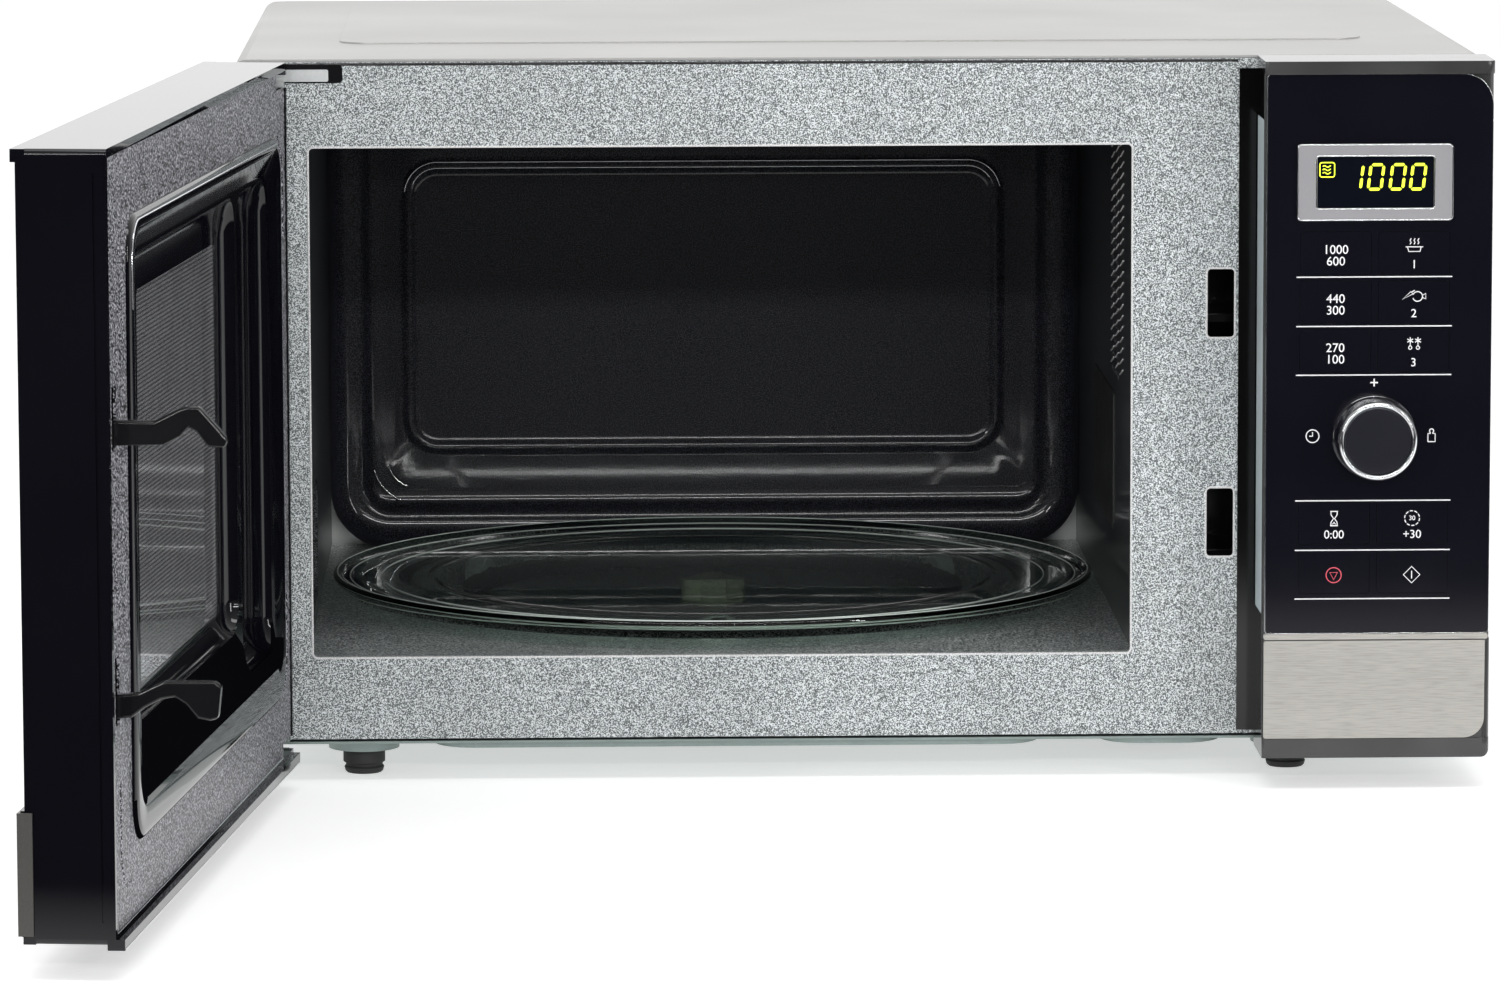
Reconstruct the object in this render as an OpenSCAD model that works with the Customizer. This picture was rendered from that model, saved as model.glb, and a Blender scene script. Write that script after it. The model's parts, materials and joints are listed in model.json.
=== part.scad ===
// Countertop microwave oven: steel cabinet and cavity, side-hinged door, turntable, control panel.
// Millimetres. X runs to the right, Y to the back, Z up. The origin is on the surface that the feet
// stand on, under the middle of the cabinet. The door is drawn shut and then swung to door_open.

/* [Cabinet] */
// Width of the cabinet
cabinet_w = 488; // [484:1:520]
// Depth of the cabinet, from the front plate to the back
cabinet_d = 345; // [343:1:380]
// Height of the cover above the surface that the feet stand on
cabinet_h = 284.5; // [284:0.5:300]
// Thickness of the outer cover's sheet
cover_t = 1.0; // [0.6:0.1:1.2]
// Thickness of the front plate
plate_t = 1.2; // [0.8:0.1:1.3]
// Height of the feet, up to the dimples in the base
foot_h = 10; // [8:0.5:11]
// Radius of a foot
foot_r = 8.3; // [7:0.1:10]

/* [Cavity] */
// Width of the cavity's opening in the front plate
opening_w = 321.6; // [318:0.1:323]
// Height of the cavity's opening
opening_h = 201; // [190:1:202]
// Centre of the opening, left of the cabinet's middle
opening_x = -54.4; // [-55:0.1:-54]
// Lower edge of the opening above the ground
opening_z = 49.2; // [49:0.1:52]
// Depth of the cavity
cavity_d = 338; // [337:0.5:338]
// Thickness of the cavity's sheets
sheet_t = 1.0; // [0.6:0.1:1.0]

/* [Turntable] */
// Radius of the glass tray
tray_r = 157.5; // [150:0.5:158]
// Radius of the well that the roller ring runs in
well_r = 126; // [122:1:130]
// Radius of the rollers' path
roller_path_r = 112; // [110:0.5:113]
// Radius of a roller
roller_r = 6.7; // [6.4:0.1:6.7]

/* [Door] */
// Width of the door
door_w = 397; // [395:0.5:397]
// Thickness of the door's casing
door_t = 33.3; // [32:0.1:33.3]
// Gap between the shut door's nominal back and the front plate
door_gap = 1.5; // [1.5:0.1:3]
// Angle that the door stands open
door_open = 96.9; // [0:0.1:100]
// Distance of the hinge pins from the door's hinge-side edge
hinge_inset = 7; // [7:0.5:8]
// Distance of the hinge pins from the door's nominal back
hinge_depth = 16; // [16:0.5:18]
// Radius of a hinge pin
hinge_pin_r = 2.5; // [2:0.1:3]

/* [Control panel] */
// Left edge of the control panel
panel_x = 155; // [155:0.5:156]
// Distance that the panel's casing stands in front of the front plate
panel_out = 31.5; // [31:0.1:32]
// Width of a key pad
key_w = 27.5; // [24:0.5:28]
// Height of a key pad
key_h = 16.5; // [14:0.5:17]
// Radius of the dial
dial_r = 15.4; // [13:0.1:16]

/* [Hidden] */
$fn = 48;

// Small distances that the solids share
eps = 0.2;
running_gap = 0.06;
half_w = cabinet_w / 2;
plate_y = -cabinet_d / 2;
back_y = cabinet_d / 2;
plate_z0 = 17;
plate_z1 = cabinet_h - 1.1;
cover_z0 = 17;
bottom_z = 12.5;

// The cavity's opening and inner faces
open_x0 = opening_x - opening_w / 2;
open_x1 = opening_x + opening_w / 2;
open_z1 = opening_z + opening_h;
flange_t = 1;
cavity_x0 = open_x0 - 1.8;
cavity_x1 = open_x1 + 1.6;
cavity_z0 = opening_z - 1.2;
cavity_z1 = open_z1 + 1.2;
cavity_y0 = plate_y + plate_t;
cavity_y1 = plate_y + cavity_d;
well_top = cavity_z0;
well_floor = cavity_z0 - 9;
table_x = opening_x;
table_y = plate_y + 177.5;

// Latch slots, the same in the plate and for the hooks
slot_x0 = 135.6;
slot_x1 = 146.8;
slot_h = 27.5;
upper_slot_z = 173.7;
lower_slot_z = 87.2;

// Panel levels, as distances in front of the front plate
overlay_out = panel_out + 1.6;
cap_out = 35;
wall = 2.2;
board_front = 17.6;
strip_z = 59;
trim_z0 = 20;
cap_z = cabinet_h - 5;
key_left_x = 182.8;
key_right_x = 213.2;
key_upper_z = [210.1, 191.0, 171.9];
key_lower_z = [104.7, 85.4];
key_travel = 0.5;
dial_x = 198;
dial_z = 138.6;

// The 10 keys' centres, in the order of their nodes
key_places = concat(
    [for (z = key_upper_z) [key_left_x, z]],
    [for (z = key_upper_z) [key_right_x, z]],
    [for (z = key_lower_z, x = [key_left_x, key_right_x]) [x, z]]
);

// Display
bezel_x = [167.6, 228];
bezel_z = [222.8, 252.4];
window_x = [175.3, 220.5];
window_z = [227.6, 247.6];

// Fan in the bay beside the cavity
fan_x = 180;
fan_z = 205;
fan_r = 50;
fan_y = plate_y + 312;

// Door, as distances from its hinge-side edge (u), and from its nominal back to the front (w)
door_x0 = -half_w;
hinge_x = door_x0 + hinge_inset;
hinge_y = plate_y - door_gap - hinge_depth;
hinge_slot_h = 5.5;
upper_lug_z = 275.5;
lower_lug_z = 18;
lug_t = 2;
casing_back = 2.3;
inner_plate_w = 3;
screen_w = 12.2;
lip_w = 35;
trim_w = 35.9;
hook_u = 384;
hook_t = 4;

function out_y(d) = plate_y - d;
function in_y(d) = plate_y + d;
function door_x(u) = door_x0 + u;
function door_y(w) = plate_y - door_gap - w;

// A box from its low corner to its high corner
module block(lo, hi) {
    translate(lo) cube(hi - lo);
}

// A rectangle with round corners, from corner to corner
module soft_rect(x0, y0, x1, y1, r) {
    translate([x0 + r, y0]) square([x1 - x0 - 2 * r, y1 - y0]);
    translate([x0, y0 + r]) square([x1 - x0, y1 - y0 - 2 * r]);
    for (x = [x0 + r, x1 - r], y = [y0 + r, y1 - r])
        translate([x, y]) circle(r);
}

// Extrude a drawing of X and Z from y0 back to y1
module front_to_back(y0, y1) {
    translate([0, y1, 0]) rotate([90, 0, 0]) linear_extrude(y1 - y0) children();
}

// Extrude a drawing of Y and Z from x0 to x1
module left_to_right(x0, x1) {
    translate([x0, 0, 0]) rotate([90, 0, 90]) linear_extrude(x1 - x0) children();
}

// Extrude a drawing of X and Y from z0 up to z1
module upwards(z0, z1) {
    translate([0, 0, z0]) linear_extrude(z1 - z0) children();
}

// A cylinder along Y from y0 back to y1
module rod_y(x, z, r, y0, y1) {
    translate([x, y1, z]) rotate([90, 0, 0]) cylinder(r = r, h = y1 - y0);
}

// A cylinder along X from x0 to x1
module rod_x(y, z, r, x0, x1) {
    translate([x0, y, z]) rotate([0, 90, 0]) cylinder(r = r, h = x1 - x0);
}

// A cylinder upwards from z0 to z1
module rod_z(x, y, r, z0, z1) {
    translate([x, y, z0]) cylinder(r = r, h = z1 - z0);
}

// Children turned about the hinge pins, from the shut door to the open one
module swung() {
    translate([hinge_x, hinge_y, 0]) rotate([0, 0, -door_open])
        translate([-hinge_x, -hinge_y, 0]) children();
}

// ---------------------------------------------------------------- cabinet

// The space that the cover wraps, drawn smaller by inset
module cover_shape(inset, y0, z0) {
    r = 5 - inset;
    back_r = 12 - inset;
    x = half_w - inset;
    intersection() {
        front_to_back(y0, back_y - inset) {
            translate([-x, z0]) square([2 * x, cabinet_h - inset - r - z0]);
            translate([-x + r, z0]) square([2 * (x - r), cabinet_h - inset - z0]);
            for (side = [-1, 1])
                translate([side * (x - r), cabinet_h - inset - r]) circle(r);
        }
        upwards(z0, cabinet_h - inset) {
            translate([-x, y0]) square([2 * x, back_y - inset - back_r - y0]);
            translate([-x + back_r, y0]) square([2 * (x - back_r), back_y - inset - y0]);
            for (side = [-1, 1])
                translate([side * (x - back_r), back_y - inset - back_r]) circle(back_r);
        }
    }
}

module outer_cover() {
    front = plate_y + plate_t + eps;
    raise = 0.6;
    emboss_x = 205;
    emboss_y0 = plate_y + 82;
    emboss_y1 = back_y - 26;
    emboss_r = 14;
    vent_pitch_y = 9;
    vent_pitch_z = 12;
    color([0.9, 0.9, 0.89]) difference() {
        union() {
            cover_shape(0, front, cover_z0);
            upwards(cabinet_h - cover_t / 2, cabinet_h + raise)
                soft_rect(-emboss_x, emboss_y0, emboss_x, emboss_y1, emboss_r);
        }
        cover_shape(cover_t, front - 1, cover_z0 - 1);
        upwards(cabinet_h - 2 * cover_t, cabinet_h - cover_t + raise)
            soft_rect(-emboss_x + 1, emboss_y0 + 1, emboss_x - 1, emboss_y1 - 1, emboss_r - 1);
        // the open back, inside a folded rim
        front_to_back(back_y - 3, back_y + 1)
            soft_rect(-half_w + cover_rim, cover_z0 - 10, half_w - cover_rim,
                cabinet_h - cover_rim, 4);
        // air slots at the rear of both sides
        for (i = [0:9], j = [0:3])
            block([-half_w - 1, back_y - 118 + i * vent_pitch_y, 44 + j * vent_pitch_z],
                [-half_w + 2, back_y - 114.5 + i * vent_pitch_y, 53 + j * vent_pitch_z]);
        for (i = [0:9], j = [0:3])
            block([half_w - 2, back_y - 118 + i * vent_pitch_y, 206 + j * vent_pitch_z],
                [half_w + 1, back_y - 114.5 + i * vent_pitch_y, 215 + j * vent_pitch_z]);
        screw_holes(back_y - 3, back_y + 1);
    }
}

// Where the cover's rear rim is screwed to the back panel
cover_rim = 19;
screw_inset = 15;
screw_places = concat(
    [for (side = [-1, 1], z = [60, 200]) [side * (half_w - screw_inset), z]],
    [for (x = [-150, 0, 150]) [x, cabinet_h - screw_inset + 4]]
);
screw_r = 1.9;

module screw_holes(y0, y1) {
    for (p = screw_places)
        rod_y(p[0], p[1], screw_r + running_gap, y0, y1);
}

module cover_screws() {
    head_r = 3.6;
    color([0.75, 0.76, 0.78]) for (p = screw_places) difference() {
        union() {
            rod_y(p[0], p[1], screw_r, back_y - 7, back_y + 1);
            rod_y(p[0], p[1], head_r, back_y, back_y + 1.8);
        }
        for (turn = [0, 90])
            translate([p[0], back_y + 1.4, p[1]]) rotate([0, turn, 0])
                cube([4, 1.2, 0.8], center = true);
    }
}

module front_plate() {
    x = half_w - 0.6;
    inset = 0.9;
    lip = 8;
    opening_corner = 2;
    color([0.62, 0.66, 0.66]) difference() {
        union() {
            front_to_back(plate_y, plate_y + plate_t)
                soft_rect(-x, plate_z0, x, plate_z1, 4);
            // stiffening lip that the cover slips over
            front_to_back(plate_y + plate_t, plate_y + lip) difference() {
                soft_rect(-x + inset, plate_z0 + 3, x - inset, plate_z1 - inset, 4);
                soft_rect(-x + inset + 1, plate_z0 + 4, x - inset - 1, plate_z1 - inset - 1, 3);
            }
            front_to_back(plate_y + plate_t, plate_y + 6)
                soft_rect(open_x0 - flange_t, opening_z - flange_t, open_x1 + flange_t,
                    open_z1 + flange_t, opening_corner + flange_t);
        }
        front_to_back(plate_y - 1, plate_y + 7)
            soft_rect(open_x0, opening_z, open_x1, open_z1, opening_corner);
        for (z = [upper_slot_z, lower_slot_z])
            front_to_back(plate_y - 1, plate_y + 3)
                soft_rect(slot_x0, z, slot_x1, z + slot_h, 1.8);
        // wiring window behind the control panel
        front_to_back(plate_y - 1, plate_y + 3)
            soft_rect(180, 70, 228, 100, 4);
        for (z = [upper_lug_z - 9, lower_lug_z + 11])
            rod_y(hinge_x + 4, z, 1.6 + running_gap, plate_y - 1, plate_y + 3);
    }
}

// One hinge lug: a plate on the front plate's face, turned out over the pin; up is 1 or -1
module hinge_bracket(lug_z, up) {
    x0 = hinge_x - 6.5;
    x1 = hinge_x + 13;
    flange = 1.6;
    tall = 16;
    z0 = up > 0 ? lug_z - tall : lug_z;
    z1 = up > 0 ? lug_z + lug_t : lug_z + lug_t + tall;
    pin_z0 = up > 0 ? lug_z - 9 : lug_z - 1.4;
    pin_z1 = up > 0 ? lug_z + lug_t + 1.4 : lug_z + lug_t + 9;
    head_z0 = up > 0 ? lug_z + lug_t : lug_z - 1.4;
    upwards(lug_z, lug_z + lug_t) {
        translate([hinge_x, hinge_y]) circle(6.5);
        translate([x0, hinge_y]) square([x1 - x0, plate_y - flange - hinge_y]);
    }
    front_to_back(plate_y - flange, plate_y - 0.01)
        soft_rect(x0, z0, x1, z1, 1.5);
    rod_z(hinge_x, hinge_y, hinge_pin_r, pin_z0, pin_z1);
    rod_z(hinge_x, hinge_y, hinge_pin_r + 1.6, head_z0, head_z0 + 1.4);
    // rivet through the front plate
    rivet_z = up > 0 ? lug_z - 9 : lug_z + 11;
    rod_y(hinge_x + 4, rivet_z, 1.6, plate_y - flange, plate_y + 2.4);
    rod_y(hinge_x + 4, rivet_z, 3, plate_y - flange - 0.7, plate_y - flange);
}

module upper_hinge_bracket() {
    color([0.72, 0.73, 0.73]) hinge_bracket(upper_lug_z, 1);
}

module lower_hinge_bracket() {
    color([0.62, 0.68, 0.66]) hinge_bracket(lower_lug_z, -1);
}

module cavity_left_wall() {
    pocket = 3;
    color([0.36, 0.37, 0.37]) difference() {
        union() {
            block([cavity_x0 - sheet_t, cavity_y0, cavity_z0], [cavity_x0, cavity_y1, cavity_z1]);
            left_to_right(cavity_x0 - sheet_t - pocket, cavity_x0)
                soft_rect(in_y(14), 54, in_y(140), 106, 12);
        }
        left_to_right(cavity_x0 - pocket, cavity_x0 + 1)
            soft_rect(in_y(15), 55, in_y(139), 105, 11);
    }
}

// The wall between the cavity and the bay: air holes, and the port that the power comes through
port_y = [124, 210];
port_z = [92, 130];
module cavity_right_wall() {
    hole_r = 1.6;
    pitch = 6.5;
    color([0.36, 0.37, 0.37]) difference() {
        block([cavity_x1, cavity_y0, cavity_z0], [cavity_x1 + sheet_t, cavity_y1, cavity_z1]);
        for (i = [0:5], j = [0:12])
            rod_x(in_y(92 + i * pitch + j * 1.2), 148 + j * pitch, hole_r,
                cavity_x1 - 1, cavity_x1 + 2);
        left_to_right(cavity_x1 - 1, cavity_x1 + 2)
            soft_rect(in_y(port_y[0]), port_z[0], in_y(port_y[1]), port_z[1], 3);
    }
}

module cavity_ceiling() {
    hole_r = 1.6;
    pitch = 7;
    raise = 3;
    color([0.36, 0.37, 0.37]) difference() {
        union() {
            block([cavity_x0 - sheet_t, cavity_y0, cavity_z1],
                [cavity_x1 + sheet_t, cavity_y1, cavity_z1 + sheet_t]);
            upwards(cavity_z1, cavity_z1 + sheet_t + raise)
                soft_rect(cavity_x0 + 60, in_y(60), cavity_x1 - 60, in_y(280), 30);
        }
        upwards(cavity_z1 - 1, cavity_z1 + raise)
            soft_rect(cavity_x0 + 61, in_y(61), cavity_x1 - 61, in_y(279), 29);
        for (i = [0:4], j = [0:9])
            rod_z(cavity_x0 + 16 + i * pitch, in_y(230 + j * pitch), hole_r,
                cavity_z1 - 1, cavity_z1 + 2);
    }
}

module cavity_floor() {
    color([0.36, 0.37, 0.37]) difference() {
        union() {
            block([cavity_x0 - sheet_t, cavity_y0, cavity_z0 - sheet_t],
                [cavity_x1 + sheet_t, cavity_y1, cavity_z0]);
            rod_z(table_x, table_y, well_r + sheet_t, well_floor - sheet_t, cavity_z0);
        }
        rod_z(table_x, table_y, well_r, well_floor, cavity_z0 + 1);
        rod_z(table_x, table_y, 7, well_floor - 5, well_floor + 1);
    }
}

module cavity_rear_wall() {
    step = 2;
    // the two pressed panels: low x, low z, high x, high z, corner radius
    outer = [cavity_x0 + 15, 67, cavity_x1 - 14, 237, 20];
    inner = [-184, 88.5, 74.5, 214.5, 14];
    color([0.36, 0.37, 0.37]) difference() {
        union() {
            block([cavity_x0 - sheet_t, cavity_y1, cavity_z0 - sheet_t],
                [cavity_x1 + sheet_t, cavity_y1 + sheet_t, cavity_z1 + sheet_t]);
            front_to_back(cavity_y1, cavity_y1 + sheet_t + step / 2)
                soft_rect(outer[0] - 1, outer[1] - 1, outer[2] + 1, outer[3] + 1, outer[4] + 1);
            front_to_back(cavity_y1, cavity_y1 + sheet_t + 1.5 * step)
                soft_rect(inner[0] - 1, inner[1] - 1, inner[2] + 1, inner[3] + 1, inner[4] + 1);
        }
        front_to_back(cavity_y1 - 1, cavity_y1 + step / 2)
            soft_rect(outer[0], outer[1], outer[2], outer[3], outer[4]);
        front_to_back(cavity_y1 - 1, cavity_y1 + 1.5 * step)
            soft_rect(inner[0], inner[1], inner[2], inner[3], inner[4]);
    }
}

// Centres of the four feet
foot_places = [for (x = [-196, 170], y = [plate_y + 25, back_y - 25]) [x, y]];

module base_pan() {
    x = half_w - cover_t - eps;
    y0 = plate_y + 0.4;
    y1 = back_y - cover_t - sheet_t - 2 * eps;
    pan_z = 15;
    low_z = 12.6;
    dimple_r = 14;
    corner = 12;
    color([0.5, 0.54, 0.53]) difference() {
        union() {
            upwards(pan_z, pan_z + sheet_t) {
                translate([-x, y0]) square([2 * x, y1 - corner - y0]);
                translate([-x + corner, y0]) square([2 * (x - corner), y1 - y0]);
                for (side = [-1, 1])
                    translate([side * (x - corner), y1 - corner]) circle(corner);
            }
            // folded edges, up inside the cover
            for (side = [-1, 1])
                block([side > 0 ? x - sheet_t : -x, plate_y + 12, pan_z],
                    [side > 0 ? x : -x + sheet_t, y1 - corner, pan_z + 14]);
            // pressed down panels
            upwards(low_z, pan_z + sheet_t) {
                soft_rect(-168, y0 + 3, 71, y1 - 20, 16);
                soft_rect(95, y0 + 3, 143, y1 - 20, 16);
            }
            for (p = foot_places)
                rod_z(p[0], p[1], dimple_r, foot_h, pan_z + sheet_t);
        }
        upwards(low_z + sheet_t, pan_z + sheet_t + 1) {
            soft_rect(-167, y0 + 4, 70, y1 - 21, 15);
            soft_rect(96, y0 + 4, 142, y1 - 21, 15);
        }
        for (p = foot_places) {
            rod_z(p[0], p[1], dimple_r - sheet_t, foot_h + sheet_t, pan_z + sheet_t + 1);
            rod_z(p[0], p[1], 2.6, foot_h - 1, foot_h + sheet_t + 1);
        }
        // air slots below the bay
        for (i = [0:8])
            block([102, in_y(60 + i * 10), low_z - 1], [136, in_y(64 + i * 10), low_z + 3]);
    }
}

module feet() {
    stem_r = 2.5;
    color([0.06, 0.06, 0.06]) for (p = foot_places) translate([p[0], p[1], 0]) {
        cylinder(r1 = foot_r - 1.6, r2 = foot_r, h = 2.4);
        translate([0, 0, 2.4]) cylinder(r = foot_r, h = foot_h - 2.4 - 0.01);
        cylinder(r = stem_r, h = foot_h + 4);
        translate([0, 0, foot_h + sheet_t + 0.3]) cylinder(r1 = 3.6, r2 = stem_r, h = 2.7);
    }
}

gland_x = 214;
gland_z = 46;
gland_r = 6.4;
gland_bore_r = 3.9;

module rear_panel() {
    y1 = back_y - cover_t - eps;
    y0 = y1 - sheet_t;
    x = half_w - 11;
    hole_pitch = 9;
    hole_r = 3;
    spacer_h = 11;
    color([0.72, 0.73, 0.73]) difference() {
        union() {
            front_to_back(y0, y1) soft_rect(-x, plate_z0, x, cabinet_h - cover_t - eps - 3, 6);
            // two pressed spacers that keep the back off a wall
            for (px = [-150, 120])
                translate([px, y1 - 0.5, 235]) rotate([-90, 0, 0])
                    cylinder(r1 = 14, r2 = 8, h = spacer_h);
        }
        for (px = [-150, 120])
            translate([px, y0 - 0.1, 235]) rotate([-90, 0, 0])
                cylinder(r1 = 13, r2 = 7, h = spacer_h);
        // fan grille
        for (i = [-5:5], j = [-5:5])
            if (norm([i, j]) * hole_pitch < fan_r - 8)
                rod_y(fan_x + i * hole_pitch, fan_z + j * hole_pitch, hole_r, y0 - 1, y1 + 1);
        // exhaust slots
        for (i = [0:11])
            front_to_back(y0 - 1, y1 + 1)
                soft_rect(-210 + i * 9, 175, -206 + i * 9, 200, 1.9);
        rod_y(gland_x, gland_z, gland_r + running_gap, y0 - 1, y1 + 1);
        screw_holes(y0 - 1, y1 + 1);
    }
}

module cord_gland() {
    y1 = back_y - cover_t - eps;
    color([0.05, 0.05, 0.05]) difference() {
        union() {
            rod_y(gland_x, gland_z, gland_r, y1 - 9, y1 + 6);
            rod_y(gland_x, gland_z, gland_r + 3, y1 + 0.02, y1 + 3);
            rod_y(gland_x, gland_z, gland_r + 1.6, y1 - 9, y1 - sheet_t - 0.4);
        }
        rod_y(gland_x, gland_z, gland_bore_r, y1 - 10, y1 + 7);
    }
}

// ---------------------------------------------------------------- control panel

// The panel's outline seen from above, out to a distance in front of the plate
module panel_plan(out) {
    r = 3;
    translate([panel_x, out_y(out) + r]) square([half_w - panel_x, out - r]);
    translate([panel_x + 1, out_y(out)]) square([half_w - panel_x - r - 1, r + 1]);
    translate([half_w - r, out_y(out) + r]) circle(r);
    translate([panel_x + 1, out_y(out) + 1]) circle(1);
    translate([panel_x, out_y(out) + 1]) square([1, r]);
}

module panel_housing() {
    flange_w = 7;
    corner = 3.5;
    color([0.03, 0.03, 0.035]) difference() {
        union() {
            upwards(bottom_z, cabinet_h) panel_plan(panel_out);
            // proud cap along the top, and a pad and chin behind the lower trim
            upwards(cap_z, cabinet_h) panel_plan(cap_out);
            upwards(bottom_z, trim_z0) panel_plan(cap_out - 0.6);
            upwards(trim_z0, strip_z) panel_plan(overlay_out + 0.2);
            // thin flange on the front plate, beside the door's free edge
            block([panel_x - flange_w, out_y(0.9), plate_z0 + 1.5], [panel_x + 1, plate_y, cap_z]);
        }
        // eased lower corner
        front_to_back(out_y(cap_out + 1), plate_y + 1) translate([half_w - corner, bottom_z]) difference() {
            translate([0, -0.1]) square([corner + 0.1, corner + 0.1]);
            translate([0, corner]) circle(corner);
        }
        block([panel_x + wall, out_y(panel_out - 3), bottom_z + wall],
            [half_w - wall, plate_y + 1, cabinet_h - wall]);
        front_to_back(out_y(cap_out + 1), out_y(panel_out - 4))
            soft_rect(window_x[0] - 2.4, window_z[0] - 2.4, window_x[1] + 2.4,
                window_z[1] + 2.4, 2);
        rod_y(dial_x, dial_z, 4.8, out_y(cap_out + 1), out_y(panel_out - 4));
        for (p = key_places)
            rod_y(p[0], p[1], 2.3, out_y(cap_out + 1), out_y(panel_out - 4));
    }
}

// The rectangle of a key, larger by grow
module key_rect(p, grow) {
    soft_rect(p[0] - key_w / 2 - grow, p[1] - key_h / 2 - grow,
        p[0] + key_w / 2 + grow, p[1] + key_h / 2 + grow, 1.2 + grow);
}

module panel_overlay() {
    x0 = panel_x + 0.9;
    x1 = half_w - 0.7;
    z0 = strip_z + 2.4;
    z1 = cap_z - 0.1;
    corner = 11.7;
    key_gap = 0.15;
    color([0.015, 0.015, 0.018]) front_to_back(out_y(overlay_out), out_y(panel_out)) difference() {
        union() {
            soft_rect(x0, z0, x1 - corner, z1, 1.5);
            translate([x1 - corner - 4, z0]) square([corner + 4, z1 - z0 - corner]);
            translate([x1 - corner, z1 - corner]) circle(corner);
            translate([x1 - corner - 4, z1 - corner - 1]) square([4, corner + 1]);
        }
        soft_rect(window_x[0] - 2.4, window_z[0] - 2.4, window_x[1] + 2.4, window_z[1] + 2.4, 2);
        translate([dial_x, dial_z]) circle(4.8);
        for (p = key_places)
            key_rect(p, key_gap);
    }
}

module panel_lower_trim() {
    x0 = panel_x + 0.6;
    x1 = half_w - 2.2;
    corner = 8;
    color([0.72, 0.71, 0.69]) {
        front_to_back(out_y(overlay_out + 1.2), out_y(overlay_out + 0.25)) {
            soft_rect(x0, trim_z0 + 0.2, x1 - corner, strip_z - 0.4, 1);
            translate([x1 - corner, trim_z0 + 0.2 + corner]) circle(corner);
            translate([x1 - corner - 2, trim_z0 + 0.2 + corner])
                square([corner + 2, strip_z - trim_z0 - 0.6 - corner]);
            translate([x1 - corner - 2, trim_z0 + 0.2]) square([2, 20]);
        }
        // bright strip between this trim and the overlay
        front_to_back(out_y(overlay_out + 1), out_y(panel_out))
            soft_rect(x0, strip_z + 0.1, half_w - 1, strip_z + 2.2, 0.8);
    }
}

module display_bezel() {
    collar = 2.2;
    color([0.45, 0.46, 0.47]) difference() {
        union() {
            front_to_back(out_y(overlay_out + 1.1), out_y(overlay_out) - 0.02)
                soft_rect(bezel_x[0], bezel_z[0], bezel_x[1], bezel_z[1], 1.6);
            front_to_back(out_y(overlay_out + 0.5), out_y(panel_out - 2.6))
                soft_rect(window_x[0] - collar, window_z[0] - collar, window_x[1] + collar,
                    window_z[1] + collar, 1.9);
        }
        front_to_back(out_y(overlay_out + 2), out_y(panel_out - 4))
            soft_rect(window_x[0], window_z[0], window_x[1], window_z[1], 0.8);
    }
}

module display_window() {
    color([0.06, 0.09, 0.06]) front_to_back(out_y(overlay_out + 0.6), out_y(panel_out - 0.4))
        soft_rect(window_x[0] + 0.1, window_z[0] + 0.1, window_x[1] - 0.1, window_z[1] - 0.1, 0.7);
}

module display_module() {
    color([0.05, 0.12, 0.05]) {
        block([window_x[0] - 1, out_y(panel_out - 4.4), window_z[0] - 1],
            [window_x[1] + 1, out_y(board_front + 0.02), window_z[1] + 1]);
        block([window_x[0] + 1.4, out_y(panel_out - 0.6), window_z[0] + 1.4],
            [window_x[1] - 1.4, out_y(panel_out - 4.4), window_z[1] - 1.4]);
    }
}

module control_board() {
    board_t = 1.6;
    color([0.1, 0.3, 0.16]) {
        front_to_back(out_y(board_front), out_y(board_front - board_t))
            soft_rect(162, 66, 238, 262, 2);
        // a switch under each key
        for (p = key_places) {
            block([p[0] - 3, out_y(board_front + 3.5), p[1] - 3],
                [p[0] + 3, out_y(board_front), p[1] + 3]);
            rod_y(p[0], p[1], 1.7, out_y(board_front + 4.4), out_y(board_front + 3.5));
        }
        // relays, supply transformer and capacitors on the back
        for (i = [0:2])
            block([168 + i * 22, out_y(board_front - board_t), 222],
                [186 + i * 22, out_y(2.5), 244]);
        block([170, out_y(board_front - board_t), 180], [200, out_y(1.5), 208]);
        for (i = [0:3])
            rod_y(212, 130 + i * 16, 5, out_y(board_front - board_t), out_y(3));
        block([176, out_y(board_front - board_t), 140], [196, out_y(13), 160]);
    }
}

dial_stem_r = 3;

module dial_encoder() {
    color([0.35, 0.36, 0.37]) difference() {
        union() {
            block([dial_x - 7, out_y(board_front + 6.5), dial_z - 7],
                [dial_x + 7, out_y(board_front + 0.02), dial_z + 7]);
            rod_y(dial_x, dial_z, 4.4, out_y(board_front + 11), out_y(board_front + 6.5));
        }
        rod_y(dial_x, dial_z, dial_stem_r + running_gap, out_y(board_front + 12),
            out_y(board_front + 2));
    }
}

// A key: a thin pad flush with the overlay, and the stem that works its switch
module key_pad(n) {
    p = key_places[n];
    color([0.02, 0.02, 0.023]) {
        front_to_back(out_y(overlay_out), out_y(panel_out + 0.65)) key_rect(p, 0);
        rod_y(p[0], p[1], 2, out_y(panel_out + 0.8), out_y(board_front + 5.1));
    }
}

module key_power_high() {
    key_pad(0);
}

module key_power_medium() {
    key_pad(1);
}

module key_power_low() {
    key_pad(2);
}

module key_menu_soup() {
    key_pad(3);
}

module key_menu_drink() {
    key_pad(4);
}

module key_menu_meal() {
    key_pad(5);
}

module key_timer() {
    key_pad(6);
}

module key_quick() {
    key_pad(7);
}

module key_stop() {
    key_pad(8);
}

module key_start() {
    key_pad(9);
}

dial_back = overlay_out + 0.5;
dial_front = dial_back + 16.5;

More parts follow.
